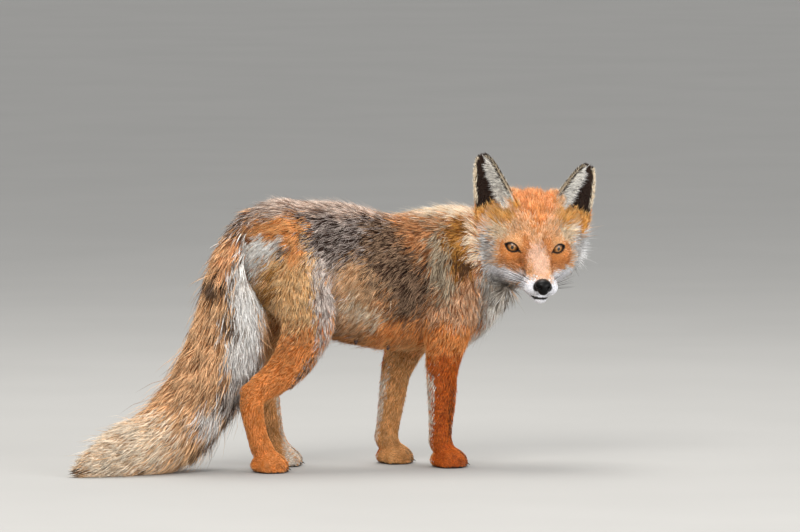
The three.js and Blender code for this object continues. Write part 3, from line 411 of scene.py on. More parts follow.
def fox_field(space, bare):
    """The distance to the whole fox."""
    d = group_fields(space, bare)
    whole = blend(blend(blend(d["trunk"], d["neck"], 30), d["bib"], 16), d["brush"], 10)
    for leg in LEGS:
        whole = blend(whole, d[leg], 16)
    return blend(whole, d["head"], 20)


# ---------------------------------------------------------------- from a field to a mesh

CORNERS = np.array([(i, j, k) for i in (0, 1) for j in (0, 1) for k in (0, 1)])
EDGES = [
    (a, b) for a in range(8) for b in range(a + 1, 8)
    if np.abs(CORNERS[a] - CORNERS[b]).sum() == 1
]


def shifted(a, corner, shape):
    """The block of a that starts at a corner of its first cell."""
    return a[tuple(slice(c, c + n) for c, n in zip(corner, shape))]


def surface_net(d, low, step):
    """The surface where d is 0: one vertex in each cell that it crosses, and four-sided faces."""
    inside = d < 0
    cells = tuple(n - 1 for n in d.shape)
    count = sum(shifted(inside, c, cells).astype(np.int8) for c in CORNERS)
    crossed = (count > 0) & (count < 8)
    index = np.full(cells, -1, np.int32)
    index[crossed] = np.arange(crossed.sum())
    at = np.argwhere(crossed)
    value = [d[tuple((at + c).T)] for c in CORNERS]
    total, cuts = np.zeros((len(at), 3)), np.zeros((len(at), 1))
    for a, b in EDGES:
        cut = (value[a] < 0) != (value[b] < 0)
        t = np.where(cut, value[a] / np.where(cut, value[a] - value[b], 1), 0)[:, None]
        total += cut[:, None] * (CORNERS[a] + t * (CORNERS[b] - CORNERS[a]))
        cuts += cut[:, None]
    quads = []
    for axis in range(3):
        j, k = (axis + 1) % 3, (axis + 2) % 3
        before = np.take(inside, np.arange(d.shape[axis] - 1), axis)
        after = np.take(inside, np.arange(1, d.shape[axis]), axis)
        for edge, order in ((before & ~after, (0, 1, 2, 3)), (after & ~before, (3, 2, 1, 0))):
            e = np.argwhere(edge)
            e = e[(e[:, j] > 0) & (e[:, k] > 0) & (e[:, j] < cells[j]) & (e[:, k] < cells[k])]
            ring = []
            for dj, dk in ((1, 1), (0, 1), (0, 0), (1, 0)):
                cell = e.copy()
                cell[:, j] -= dj
                cell[:, k] -= dk
                ring.append(index[tuple(cell.T)])
            quads.append(np.column_stack([ring[i] for i in order]))
    return low + step * (at + total / cuts), np.vstack(quads)


def compact(points, faces):
    """Only the points that the faces use."""
    used, faces = np.unique(faces, return_inverse=True)
    return points[used], faces.reshape(-1, 4)


def ring_quads(rows, sides):
    """Four-sided faces between rows of points, each row a ring of so many sides."""
    faces = []
    for i in range(rows - 1):
        for k in range(sides):
            a, b = i * sides + k, i * sides + (k + 1) % sides
            faces.append((a, b, b + sides, a + sides))
    return faces


def joined(parts):
    """One mesh of several."""
    starts = np.cumsum([0] + [len(points) for points, _ in parts[:-1]])
    return np.vstack([p for p, _ in parts]), np.vstack([f + s for (_, f), s in zip(parts, starts)])


def vertex_normals(points, faces):
    """Normals at the points of a mesh of quads or triangles."""
    corner = points[faces]
    if faces.shape[1] == 4:
        face = np.cross(corner[:, 2] - corner[:, 0], corner[:, 3] - corner[:, 1])
    else:
        face = np.cross(corner[:, 1] - corner[:, 0], corner[:, 2] - corner[:, 0])
    normals = np.zeros_like(points)
    for k in range(faces.shape[1]):
        for c in range(3):
            normals[:, c] += np.bincount(faces[:, k], face[:, c], len(points))
    return unit(normals)


def linear(colour):
    """A "#rrggbb" colour in linear light."""
    c = np.array([int(colour[i : i + 2], 16) / 255 for i in (1, 3, 5)])
    return np.where(c < 0.04045, c / 12.92, ((c + 0.055) / 1.055) ** 2.4)


def add_object(name, data):
    """A new object in the scene."""
    item = bpy.data.objects.new(name, data)
    bpy.context.collection.objects.link(item)
    return item


def make_mesh(name, points, faces, material, slot, colours=None, uv=None):
    """A smooth piece that rides on the root, from points in the skeleton's frame."""
    mesh = bpy.data.meshes.new(name)
    n, sides = faces.shape
    mesh.vertices.add(len(points))
    mesh.vertices.foreach_set("co", ((points + SHIFT) * MM).astype(np.float32).ravel())
    mesh.loops.add(n * sides)
    mesh.loops.foreach_set("vertex_index", faces.astype(np.int32).ravel())
    mesh.polygons.add(n)
    mesh.polygons.foreach_set("loop_start", np.arange(0, n * sides, sides, dtype=np.int32))
    mesh.polygons.foreach_set("use_smooth", np.ones(n, bool))
    mesh.update(calc_edges=True)
    if colours is not None:
        layer = mesh.color_attributes.new("coat", "FLOAT_COLOR", "POINT")
        rgba = np.column_stack([colours, np.ones(len(colours))]).astype(np.float32)
        layer.data.foreach_set("color", rgba.ravel())
    if uv is not None:
        layer = mesh.uv_layers.new(name="OFBake")
        layer.data.foreach_set("uv", uv[faces.ravel()].astype(np.float32).ravel())
    mesh.materials.append(material)
    piece = add_object(name, mesh)
    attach(piece, "root")
    return piece


# ---------------------------------------------------------------- the skin


def eye_space(points, side):
    """Head points from an eye's middle: forward, to the outer corner and up, along its slit."""
    q = (points - eye_middle(side)) @ turn_about("Z", side * EYE["splay"])
    return q @ turn_about("X", side * SLIT["tilt"]) * (1, side, 1)


def slit_height(across):
    """Half the opening between the lids at a place along it."""
    return SLIT["height"] * (1 - (2 * across / SLIT["length"]) ** 2)


def open_eyes(points, d):
    """The head's field with the openings between the lids cut out."""
    for side in SIDES.values():
        q = eye_space(points, side)
        slit = np.maximum((np.abs(q[:, 2]) - slit_height(q[:, 1])) * 0.8, -q[:, 0])
        d = np.maximum(d, -slit)
    return d


def mouth_height(x):
    """The height of the mouth's line at a place along the head."""
    line = np.array(MOUTH[::-1], float)
    return np.interp(x, line[:, 0], line[:, 1])


def crease_mouth(points, d):
    """The head's field with a fold along the mouth's line."""
    x, _, z = points.T
    off = np.abs(z - mouth_height(x)) + 3 * np.maximum(22 - x, 0)
    return d + 1.6 * np.exp(-((off / 1.5) ** 2))


PAW_BLOCKS = [
    ((rows[-1][0] - 24, rows[-1][1] - 26, -3), (rows[-1][0] + 40, rows[-1][1] + 26, 44), 1.6)
    for rows in LEGS.values()
]
HEAD_BLOCK = ((166, -196, 208), (352, 12, 412), 1.5)
FINE_BLOCKS = [HEAD_BLOCK, *PAW_BLOCKS]
BODY_BLOCK = ((-412, -92, -4), (322, 92, 404), 3.4)


def net_block(low, high, step):
    """The skin inside one block."""
    space = Grid(low, high, step)
    d = fox_field(space, 1)
    if (low, high, step) == HEAD_BLOCK:
        near = np.argwhere(np.abs(d) < 16)
        points = to_head(np.column_stack([space.axes[i][near[:, i]] for i in range(3)]))
        place = tuple(near.T)
        front = points[:, 0] > -30
        place, points = tuple(p[front] for p in place), points[front]
        d[place] = crease_mouth(points, open_eyes(points, d[place]))
    return compact(*surface_net(d, space.low, step))


def skin_mesh():
    """The whole skin: the body with the head and paws finer."""
    fine = [net_block(*block) for block in FINE_BLOCKS]
    points, faces = net_block(*BODY_BLOCK)
    middle = points[faces].mean(axis=1)
    keep = np.ones(len(faces), bool)
    for low, high, step in FINE_BLOCKS:
        inner = (middle > np.add(low, 3 * step)) & (middle < np.subtract(high, 3 * step))
        keep &= ~np.all(inner, axis=1)
    points, faces = joined([compact(points, faces[keep]), *fine])
    points[:, 2] = np.maximum(points[:, 2], 0)
    return points, faces


# ---------------------------------------------------------------- the coat's markings

# Kinds of coat: colours of the hair's root, middle and tip, the other colour that some of
# the tips have, and their share.
KINDS = {
    "saddle": ("#1c0e07", "#543a30", "#fff0e6", "#22140c", 0.52),
    "umber_saddle": ("#1a0c05", "#543320", "#e0bc9a", "#26150a", 0.46),
    # back: pale hair along the top of the back, lighter as a painted highlight of the light that
    # falls on it from above
    "back": ("#7c5a46", "#cbab94", "#fff0e4", "#5e4030", 0.36),
    "flank": ("#94683e", "#dfb082", "#fddcb6", "#ab7646", 0.25),
    "hip": ("#8f5223", "#ec9c50", "#ffcc92", "#b0622a", 0.25),
    "thigh": ("#a07440", "#f2bf82", "#ffe4b8", "#c08a50", 0.25),
    "grizzle": ("#80706a", "#e0cec4", "#fff8f0", "#806a5e", 0.33),
    "orange": ("#a05418", "#ec9244", "#ffc486", "#b85c18", 0.25),
    "rust": ("#80330a", "#cb5e14", "#e48c3e", "#8e3a08", 0.3),
    "sand": ("#9c683a", "#e8a662", "#ffd8a4", "#b47c42", 0.25),
    "pale": ("#b0a698", "#e6ddcf", "#fffaf2", "#c9bba8", 0.2),
    "stripe": ("#5e4c3c", "#b29c80", "#f0e2c8", "#75604a", 0.35),
    "neck": ("#5e320c", "#a46822", "#e6ae5e", "#6e3e0e", 0.38),
    "nape": ("#b8946c", "#f0d8b6", "#fff8ea", "#cfa678", 0.25),
    "band": ("#6a3c1c", "#c8834c", "#f2bc8a", "#703f1e", 0.35),
    "arm": ("#8c5634", "#e2a678", "#ffe0be", "#8a5430", 0.35),
    "throat": ("#6e645a", "#a89e92", "#e6dfd6", "#71675d", 0.28),
    "bib": ("#aba397", "#e8e0d3", "#ffffff", "#c0b6a8", 0.25),
    "belly": ("#7a4622", "#c07c44", "#eab27c", "#84501f", 0.3),
    "umber": ("#200f06", "#4c2c14", "#805c3c", "#6a4422", 0.2),
    "brush": ("#a06c42", "#e0a46c", "#ffd8ac", "#8a5c38", 0.2),
    "strip": ("#a8622e", "#eea468", "#ffd2a4", "#b0683a", 0.2),
    "brush_pale": ("#a39a90", "#d8d0c6", "#ffffff", "#7a6a5e", 0.16),
    "brush_dark": ("#241812", "#46301f", "#7c6049", "#a88c78", 0.12),
    "streaked": ("#3c2e26", "#8c786a", "#efe4dc", "#2a1c15", 0.45),
    "brush_end": ("#cba67e", "#f2d4b0", "#fff4e2", "#dab48c", 0.2),
    "tuft": ("#dcd8d2", "#fbf8f2", "#ffffff", "#e4ddd4", 0.2),
    "crown": ("#b8662a", "#e68f4a", "#fabf88", "#c46c2c", 0.25),
    "gold": ("#a86c2a", "#e8a44c", "#ffd490", "#bc7c32", 0.28),
    "buff": ("#b87e4a", "#ecb47e", "#ffe4c6", "#c88648", 0.3),
    "cheek": ("#985824", "#d68a48", "#f6c08a", "#ae6028", 0.3),
    "bridge": ("#c4967a", "#eec6aa", "#fbdecb", "#e2b294", 0.25),
    "white": ("#cdcdd2", "#fafaff", "#ffffff", "#dcdce2", 0.2),
    "ruff": ("#a8a5a2", "#d6d3d0", "#ffffff", "#a29b96", 0.25),
    "leather": ("#15110f", "#1d1816", "#2a2320", "#15110f", 0.0),
    "ear_back": ("#120b07", "#1d120c", "#33221a", "#3c2a20", 0.15),
    "ear_dark": ("#120702", "#1e0c05", "#38200f", "#190b04", 0.3),
    "ear_pale": ("#a49c90", "#f0ece2", "#ffffff", "#3c2c22", 0.18),
    "ear_gold": ("#a4702e", "#e6aa56", "#ffd898", "#b4803c", 0.3),
    "ear_rim": ("#c8b090", "#ecdcc0", "#fdf5e6", "#c8a878", 0.25),
}
KIND = {name: i for i, name in enumerate(KINDS)}
KIND_COLOURS = np.array([[linear(c) for c in row[:4]] for row in KINDS.values()])
KIND_SHARE = np.array([row[4] for row in KINDS.values()])

# Patches on the body in the order that they are laid: kind, centre x and z, half sizes,
# turn in degrees, and how soft its edge is.
SIDE_MARKS = [
    ("belly", (20, 165), (130, 34), 0, 0.5),
    ("saddle", (-14, 326), (92, 56), -6, 0.35),
    ("flank", (6, 256), (44, 36), -8, 0.4),
    ("flank", (4, 206), (34, 18), -10, 0.5),
    ("umber_saddle", (62, 288), (42, 64), 24, 0.35),
    ("umber_saddle", (76, 240), (30, 36), 0, 0.4),
    ("nape", (16, 215), (42, 10), -24, 0.6),
    ("orange", (66, 190), (24, 14), 0, 0.6),
    # A pale strip along the top of the back and over the rump: painted highlight where the light
    # from above falls
    ("back", (-30, 382), (130, 26), -5, 0.4),
    ("back", (-116, 366), (34, 22), 40, 0.45),
    ("band", (94, 326), (19, 42), 10, 0.45),
    ("neck", (160, 300), (25, 62), 0, 0.45),
    ("nape", (134, 368), (62, 19), 0, 0.5),
    ("band", (172, 252), (26, 20), 0, 0.5),
    ("arm", (158, 216), (46, 42), 0, 0.4),
    ("stripe", (126, 284), (16, 58), 6, 0.45),
    ("nape", (180, 320), (9, 40), -8, 0.5),
    ("umber", (161, 282), (20, 10), 0, 0.6),
    ("ruff", (204, 300), (16, 56), -4, 0.5),
    ("thigh", (-90, 258), (46, 64), 0, 0.4),
    ("hip", (-104, 336), (36, 18), 8, 0.4),
    ("hip", (-86, 310), (16, 24), 0, 0.5),
    ("grizzle", (-44, 230), (19, 76), 4, 0.5),
    ("saddle", (-46, 312), (20, 18), 20, 0.5),
    # A dark strip where the thigh meets the brush: painted shadow between the two
    ("neck", (-122, 226), (8, 56), 0, 0.5),
]
THROAT_MARK = (226, 256), (38, 56), -24, 0.3
# Patches beside the tail's root, on the rump and on the brush alike.
ROOT_MARKS = [
    ("tuft", (-128, 308), (28, 15), 14, 0.4),
    ("tuft", (-144, 282), (12, 24), 0, 0.5),
    ("streaked", (-104, 306), (7, 8), 0, 0.5),
]


def wobble(points, scale, amount, phase=0.0):
    """Points moved a little by smooth waves, to make the edges of patches uneven."""
    x, y, z = (points / scale).T
    waves = [
        np.sin(2.1 * y + 1.7 * z + phase) + 0.6 * np.sin(4.3 * x - 3.1 * z + 1 + phase),
        np.sin(2.6 * x + 2.2 * z + 2 + phase) + 0.6 * np.sin(5.2 * y + 3.7 * x + phase),
        np.sin(1.9 * x - 2.4 * y + 4 + phase) + 0.6 * np.sin(4.7 * z + 2.9 * y + 3 + phase),
    ]
    return points + amount * np.column_stack(waves)


def lay(weights, kind, share):
    """Lays a kind of coat over the others with a share from 0 to 1."""
    weights *= (1 - share)[:, None]
    weights[:, KIND[kind]] += share


def side_patch(points, centre, half, turn, soft):
    """The share of a turned oval patch in the plane of the body's side."""
    dx, dz = points[:, 0] - centre[0], points[:, 2] - centre[1]
    c, s = cos(radians(turn)), sin(radians(turn))
    off = np.hypot((dx * c + dz * s) / half[0], (dz * c - dx * s) / half[1])
    return smooth(1 + soft, 1 - soft, off)


def lay_patches(weights, points, marks):
    """Lays the patches of a table over the body's side."""
    for kind, *patch in marks:
        lay(weights, kind, side_patch(points, *patch))


def one_kind(points, kind=None):
    """Shares at points: none yet, or all of one kind."""
    weights = np.zeros((len(points), len(KINDS)))
    if kind:
        weights[:, KIND[kind]] = 1
    return weights


def oval_patch(points, centre, half, soft):
    """The share of an ellipsoidal patch, the same on the fox's right and left."""
    p = points.copy()
    p[:, 1] = np.abs(p[:, 1])
    return smooth(1 + soft, 1 - soft, np.linalg.norm((p - centre) / half, axis=1))


def leg_place(points):
    """How far points lie inwards, forwards and how high, from the middle line of their leg."""
    inward, ahead = np.zeros(len(points)), np.zeros(len(points))
    for name, rows in LEGS.items():
        rows = np.array(rows, float)[::-1]
        side = np.sign(rows[0, 1])
        mine = (np.sign(points[:, 1]) == side) & ((points[:, 0] > 30) == (name[0] == "f"))
        x, y, z = points[mine].T
        inward[mine] = side * (np.interp(z, rows[:, 2], rows[:, 1]) - y)
        ahead[mine] = x - np.interp(z, rows[:, 2], rows[:, 0])
    return inward, ahead


def body_kinds(points):
    """The share of each kind of coat at points of the trunk, neck, throat and legs."""
    weights = one_kind(points, "band")
    p = wobble(points, 16, 3.2)
    lay_patches(weights, p, SIDE_MARKS)
    x, y, z = p.T
    inward, ahead = leg_place(points)
    fore, hind = x > 30, x <= 30
    near_side = np.maximum(smooth(0, -20, y), smooth(255, 235, z))
    lay(weights, "throat", near_side * side_patch(p, *THROAT_MARK))
    on_leg = smooth(46, 36, np.abs(ahead))
    lay(weights, "orange", hind * on_leg * smooth(218, 160, z - 0.35 * ahead))
    streak = side_patch(p, (-66, 144), (42, 8), 42, 0.6)
    lay(weights, "streaked", 0.6 * hind * streak * smooth(8, 2, inward))
    lay(weights, "grizzle", 0.7 * hind * side_patch(p, (-40, 176), (20, 26), 30, 0.5))
    lay(weights, "orange", fore * smooth(204, 186, z))
    lay(weights, "rust", fore * smooth(170, 140, z) * smooth(4, -4, inward))
    lay(weights, "sand", fore * smooth(178, 150, z) * smooth(-4, 5, inward))
    shin = smooth(112, 84, z) * smooth(30, 44, z) * smooth(3, 9, ahead) * smooth(4, -4, inward)
    lay(weights, "umber", 0.4 * fore * shin)
    lay(weights, "pale", 0.7 * fore * smooth(150, 100, z) * smooth(-11, -17, ahead))
    inside = hind * on_leg * smooth(2, 8, inward)
    lay(weights, "sand", inside * smooth(220, 170, z))
    lay(weights, "pale", 0.7 * inside * smooth(250, 190, z) * smooth(3, 11, ahead))
    # Between the toes the hair is made dark: painted shade in the grooves between them.
    place = inward / (PAW["width"] * 0.25)
    groove = smooth(0.22, 0.1, np.abs(place - np.round(place))) * smooth(1.4, 1.2, np.abs(place))
    lay(weights, "umber", 0.55 * groove * smooth(10, 16, ahead) * smooth(26, 20, z))
    lay_patches(weights, p, ROOT_MARKS)
    # Under the belly, between the legs and down the middle of the breast the coat is pale.
    middle = smooth(24, 8, np.abs(y)) * smooth(230, 205, z) * smooth(150, 190, z)
    lay(weights, "pale", 0.7 * middle * smooth(120, 150, x))
    lay(weights, "bib", smooth(150, 172, x) * smooth(30, 16, np.abs(y)) * smooth(235, 215, z))
    lay(weights, "leather", smooth(2.5, 1.0, points[:, 2]))
    return weights


def throat_kinds(points):
    """Throat and breast: grey under the jaw, paler down to between the shoulders."""
    weights = one_kind(points)
    p = wobble(points, 14, 2.5)
    down = smooth(240, 205, p[:, 2])
    lay(weights, "throat", 1 - down)
    lay(weights, "bib", down)
    return weights


# Patches on the face, mirrored: kind, centre x, y and z in the head's frame and half sizes.
FACE_MARKS = [
    ("ruff", (-50, 70, -26), (46, 26, 50), 0.4),
    ("ruff", (-46, 40, -54), (52, 44, 24), 0.35),
    ("nape", (-20, 52, 20), (22, 17, 15), 0.6),
    ("gold", (-34, 48, 42), (24, 22, 13), 0.6),
    ("ear_pale", (-30, 50, 56), (18, 10, 8), 0.4),
    ("crown", (-38, 0, 70), (52, 31, 34), 0.4),
    ("orange", (-14, 0, 46), (22, 9, 19), 0.7),
    ("cheek", (4, 32, -15), (26, 19, 15), 0.6),
    ("cheek", (-8, 45, -5), (10, 7, 12), 0.6),
    ("cheek", (14, 18, -12), (28, 9, 16), 0.5),
    ("cheek", (2, 15, 8), (16, 7, 15), 0.7),
    ("bridge", (36, 0, -6), (54, 14, 20), 0.45),
    ("white", (44, 24, -42), (38, 20, 17), 0.3),
    ("white", (72, 10, -42), (26, 20, 19), 0.3),
    ("white", (4, 46, -40), (32, 22, 12), 0.4),
    ("white", (34, 0, -62), (56, 30, 14), 0.35),
]


def face_kinds(points):
    """The share of each kind of coat at points of the head, given in the skeleton's frame."""
    head = to_head(points)
    weights = one_kind(points, "buff")
    p = wobble(head, 11, 1.4)
    lay(weights, "nape", smooth(-52, -74, p[:, 0]))
    for kind, *patch in FACE_MARKS:
        lay(weights, kind, oval_patch(p, *patch))
    for side in SIDES.values():
        q = eye_space(head, side)
        rim = np.abs(q[:, 2]) - slit_height(np.clip(q[:, 1], -14, 13))
        on_lids = smooth(-8, 0, q[:, 0]) * (np.abs(q[:, 1]) < 14)
        lay(weights, "leather", smooth(2.6, 1.2, rim) * on_lids)
        corner = np.hypot((q[:, 1] + 12) / 3.6, (q[:, 2] + 0.6) / 1.5)
        lay(weights, "leather", smooth(1.2, 0.7, corner) * smooth(-10, -2, q[:, 0]))
    nose = np.linalg.norm((head - NOSE_AT) / np.add(NOSE_HALF, 1.2), axis=1)
    lay(weights, "leather", smooth(1.12, 1.0, nose))
    off = np.abs(head[:, 2] - mouth_height(head[:, 0]))
    lay(weights, "leather", smooth(2.2, 1.0, off) * smooth(18, 26, head[:, 0]))
    return weights


# Patches on the brush: kind, centre x and z and half sizes, turn and softness, over tan.
BRUSH_MARKS = [
    ("saddle", (-152, 342), (22, 13), 30, 0.4),
    ("brush_pale", (-146, 232), (27, 72), -4, 0.35),
    ("tuft", (-140, 250), (13, 56), -6, 0.5),
    ("brush_pale", (-154, 150), (26, 60), 12, 0.35),
    ("tuft", (-144, 160), (11, 40), 10, 0.5),
    ("streaked", (-152, 302), (11, 36), -14, 0.4),
    ("strip", (-175, 286), (11, 36), -26, 0.4),
    ("brush_dark", (-190, 248), (19, 11), 0, 0.3),
    ("brush_dark", (-171, 199), (9, 15), 0, 0.45),
    ("streaked", (-176, 92), (20, 24), 30, 0.45),
    ("brush_pale", (-204, 64), (20, 28), 35, 0.5),
    ("brush_dark", (-194, 36), (42, 10), 24, 0.5),
    ("brush_end", (-335, 36), (84, 42), 10, 0.5),
    ("brush_dark", (-404, 6), (12, 10), 0, 0.5),
]


def brush_kinds(points):
    """The share of each kind of coat at points of the brush."""
    weights = one_kind(points, "brush")
    p = wobble(points, 20, 4)
    lay_patches(weights, p, BRUSH_MARKS + ROOT_MARKS)
    lay(weights, "tuft", smooth(8, 20, p[:, 1]) * side_patch(p, (-172, 290), (30, 34), 10, 0.4))
    return weights


def kinds_of(points, near):
    """The share of each kind at points, with near the share of each group there."""
    body = near[:, [GROUPS.index(g) for g in ("trunk", "neck", *LEGS)]].sum(axis=1)
    weights = body[:, None] * body_kinds(points)
    for group, kinds in (("bib", throat_kinds), ("head", face_kinds), ("brush", brush_kinds)):
        share = near[:, GROUPS.index(group)]
        mine = share > 0.001
        weights[mine] += share[mine, None] * kinds(points[mine])
    return weights


# ---------------------------------------------------------------- how the coat lies

# On the trunk: height from belly 0 to back 1, the lie, length, width, tufts a cm2, and how
# far the tips are lifted off the coat.
TRUNK_COAT = [
    (1.0, (-1, 0, -0.12), 23, 1.0, 48, 0), (0.75, (-1, 0, -0.45), 20, 0.95, 54, 0),
    (0.45, (-0.75, 0, -0.8), 18, 0.9, 54, 0), (0.15, (-0.7, 0, -0.9), 19, 0.95, 48, 0),
    (0.0, (-1, 0, -0.1), 18, 1.0, 36, 0),
]
# Down a leg, station by station.
LEG_COAT = [
    (19, 1.15, 30, 0), (17, 1.1, 32, 0), (14, 1.0, 36, 0), (11, 0.9, 42, 0), (9, 0.85, 46, 0),
    (7.5, 0.8, 50, 0), (6.5, 0.75, 54, 0), (5.5, 0.7, 60, 0), (5, 0.7, 64, 0),
]
TOE_COAT = (3.4, 0.6, 80, 0)
NECK_COAT = (24, 0.95, 50, 2)
BIB_COAT = (25, 0.85, 56, 2)
BRUSH_COAT = (46, 1.3, 38, 5)
# On the head, mirrored: place, lie, length, width and tufts a cm2.
HEAD_COAT = [
    ((84, 6, -20), (-1, 0.2, 0.2), 2.5, 0.5, 80, 0), ((62, 0, -12), (-1, 0, 0.1), 3.5, 0.55, 80, 0),
    ((62, 16, -34), (-1, 0.4, -0.3), 3.5, 0.55, 80, 0), ((30, 0, 0), (-1, 0, 0.3), 4.5, 0.6, 80, 0),
    ((34, 20, -24), (-1, 0.3, -0.2), 5, 0.6, 80, 0), ((8, 0, 14), (-0.7, 0, 0.7), 6, 0.6, 80, 0),
    ((6, 12, 12), (-0.7, 0.3, 0.7), 5.5, 0.6, 80, 0),
    ((-2, 30, 16), (-0.7, 0.3, 0.7), 5.5, 0.6, 80, 0),
    ((-10, 46, 4), (-0.8, 0.8, 0.1), 6, 0.6, 72, 0),
    ((4, 32, -14), (-0.8, 0.6, -0.4), 5, 0.6, 80, 0),
    ((14, 16, -8), (-1, 0.5, -0.5), 5, 0.6, 80, 0), ((-10, 0, 44), (-0.6, 0, 0.9), 9, 0.6, 95, 0),
    ((-12, 24, 38), (-0.7, 0.4, 0.7), 9, 0.6, 95, 0),
    ((-40, 0, 74), (-1, 0, 0.6), 15, 0.55, 105, 4),
    ((-34, 32, 72), (-0.7, 0.3, 0.9), 10, 0.55, 105, 2),
    ((-22, 46, 44), (-0.5, 0.6, 0.9), 9, 0.6, 100, 0),
    ((-36, 60, 30), (-0.6, 0.8, 0.8), 15, 0.65, 85, 4),
    ((-70, 20, 55), (-1, 0.1, 0), 18, 1.0, 46, 0),
    ((-20, 54, -14), (-0.7, 0.9, -0.4), 13, 0.65, 80, 2),
    ((-38, 64, 6), (-0.4, 1.0, 0.1), 25, 1.0, 100, 13),
    ((-44, 62, -12), (-0.4, 1.0, -0.2), 28, 1.05, 100, 14),
    ((-30, 56, -38), (-0.7, 0.8, -0.6), 23, 0.75, 70, 5),
    ((0, 42, -46), (-0.8, 0.5, -0.8), 13, 0.65, 75, 1),
    ((-20, 24, -66), (-1, 0.1, -0.6), 17, 0.8, 62, 1),
    ((34, 14, -58), (-1, 0.1, -0.2), 6, 0.6, 72, 0),
    ((66, 0, -56), (-1, 0, -0.2), 3.5, 0.55, 80, 0),
    ((-75, 50, -20), (-1, 0.5, -0.5), 24, 1.1, 42, 4),
    ((-70, 20, -50), (-0.8, 0.1, -1), 22, 1.1, 40, 1),
]


class Comb:
    """The coat's guides: at each a group, place and lie, and the coat there."""

    def __init__(self):
        self.rows = []
        self.add_trunk()
        for name, rows in LEGS.items():
            self.add_line(name, rows, LEG_COAT[: len(rows) - 1] + [LEG_COAT[-1]], (-0.3, 0, 0))
            for tip, side in toe_places(rows):
                self.add(name, (tip - 8, side, 10), (1, 0, -0.5), *TOE_COAT)
                self.add(name, (tip - 26, side, 16), (1, 0, -0.6), *TOE_COAT)
        self.add_line("neck", NECK[::-1], [NECK_COAT] * len(NECK), (0, 0, -0.45))
        self.add_line("bib", BIB, [BIB_COAT] * len(BIB), (0, 0, -1.2))
        self.add_line("brush", BRUSH, [self.brush_coat(row[3]) for row in BRUSH], (0, 0, 0))
        for (x, y, z), (lx, ly, lz), *coat in HEAD_COAT:
            for side in (-1, 1):
                self.add("head", from_head((x, side * y, z)), head_way((lx, side * ly, lz)), *coat)
        columns = list(zip(*self.rows))
        self.group = np.array(columns[0])
        self.at, self.lie = np.array(columns[1]), unit(np.array(columns[2]))
        self.coat = np.array(columns[3])

    def add(self, group, at, lie, *coat):
        """One guide."""
        self.rows.append((GROUPS.index(group), np.array(at, float), np.array(lie, float), coat))

    def add_trunk(self):
        """Guides down both sides of the trunk at each of its stations."""
        for x, back, belly, half, _ in TRUNK:
            for height, lie, *coat in TRUNK_COAT:
                z = mix(belly, back, height)
                out = half * np.sqrt(max(0, 1 - (2 * height - 1) ** 2))
                for side in (-1, 1):
                    self.add("trunk", (x, side * out, z), lie, *coat)

    def add_line(self, group, rows, coats, sweep):
        """Guides along a line of stations, which lie along it and a little towards sweep."""
        at = np.array([row[:3] for row in rows], float)
        along = unit(np.gradient(at, axis=0))
        for place, way, coat in zip(at, along, coats):
            self.add(group, place, way + sweep, *coat)

    @staticmethod
    def brush_coat(r):
        """The brush's coat where its radius is r: shorter where it is thin."""
        length, *others = BRUSH_COAT
        return length * min(1, 0.2 + r / 50), *others

    def at_points(self, points, near):
        """The lie, and the length, width, density and lift of the coat, at points."""
        lie, coat = np.zeros((len(points), 3)), np.zeros((len(points), 4))
        for first in range(0, len(points), 20000):
            part = slice(first, first + 20000)
            away = ((points[part, None] - self.at[None]) ** 2).sum(axis=2)
            weight = near[part][:, self.group] / (away + 60) ** 2
            weight /= weight.sum(axis=1, keepdims=True)
            lie[part], coat[part] = weight @ self.lie, weight @ self.coat
        return lie, coat


def groups_near(points, bare):
    """The share of each group at points."""
    fields = group_fields(Cloud(points), bare)
    d = np.column_stack([fields[group] for group in GROUPS])
    share = np.exp(-(d - d.min(axis=1, keepdims=True)) / 4)
    return share / share.sum(axis=1, keepdims=True)


COMB = Comb()

# ---------------------------------------------------------------- materials


def new_material(name):
    """A material with its nodes, and its shader."""
    material = bpy.data.materials.new(name)
    material.use_nodes = True
    return material, material.node_tree, material.node_tree.nodes["Principled BSDF"]


def set_sockets(node, **values):
    """Constant values on a node's own sockets, with _ for a space in their names."""
    for name, value in values.items():
        node.inputs[name.replace("_", " ")].default_value = value


def noise(tree, scale, detail):
    """A noise over the object's own coordinates."""
    place = tree.nodes.new("ShaderNodeTexCoord")
    texture = tree.nodes.new("ShaderNodeTexNoise")
    set_sockets(texture, Scale=scale, Detail=detail)
    tree.links.new(place.outputs["Object"], texture.inputs["Vector"])
    return texture.outputs["Fac"]


def own_colours(tree):
    """The colours that a piece carries at its points."""
    node = tree.nodes.new("ShaderNodeVertexColor")
    node.layer_name = "coat"
    return node.outputs["Color"]


def one_colour(tree, colour):
    """A plain colour."""
    node = tree.nodes.new("ShaderNodeRGB")
    node.outputs[0].default_value = (*linear(colour), 1)
    return node.outputs[0]


def shade(tree, colour, factor, low, high):
    """A colour made darker and lighter by a factor from 0 to 1."""
    ramp = tree.nodes.new("ShaderNodeMapRange")
    set_sockets(ramp, From_Min=0.3, From_Max=0.7, To_Min=low, To_Max=high)
    tree.links.new(factor, ramp.inputs["Value"])
    multiply = tree.nodes.new("ShaderNodeVectorMath")
    multiply.operation = "SCALE"
    tree.links.new(colour, multiply.inputs[0])
    tree.links.new(ramp.outputs["Result"], multiply.inputs["Scale"])
    return multiply.outputs["Vector"]


def bump(tree, shader, height, strength, distance):
    """Bump from a height."""
    node = tree.nodes.new("ShaderNodeBump")
    set_sockets(node, Strength=strength, Distance=distance)
    tree.links.new(height, node.inputs["Height"])
    tree.links.new(node.outputs["Normal"], shader.inputs["Normal"])


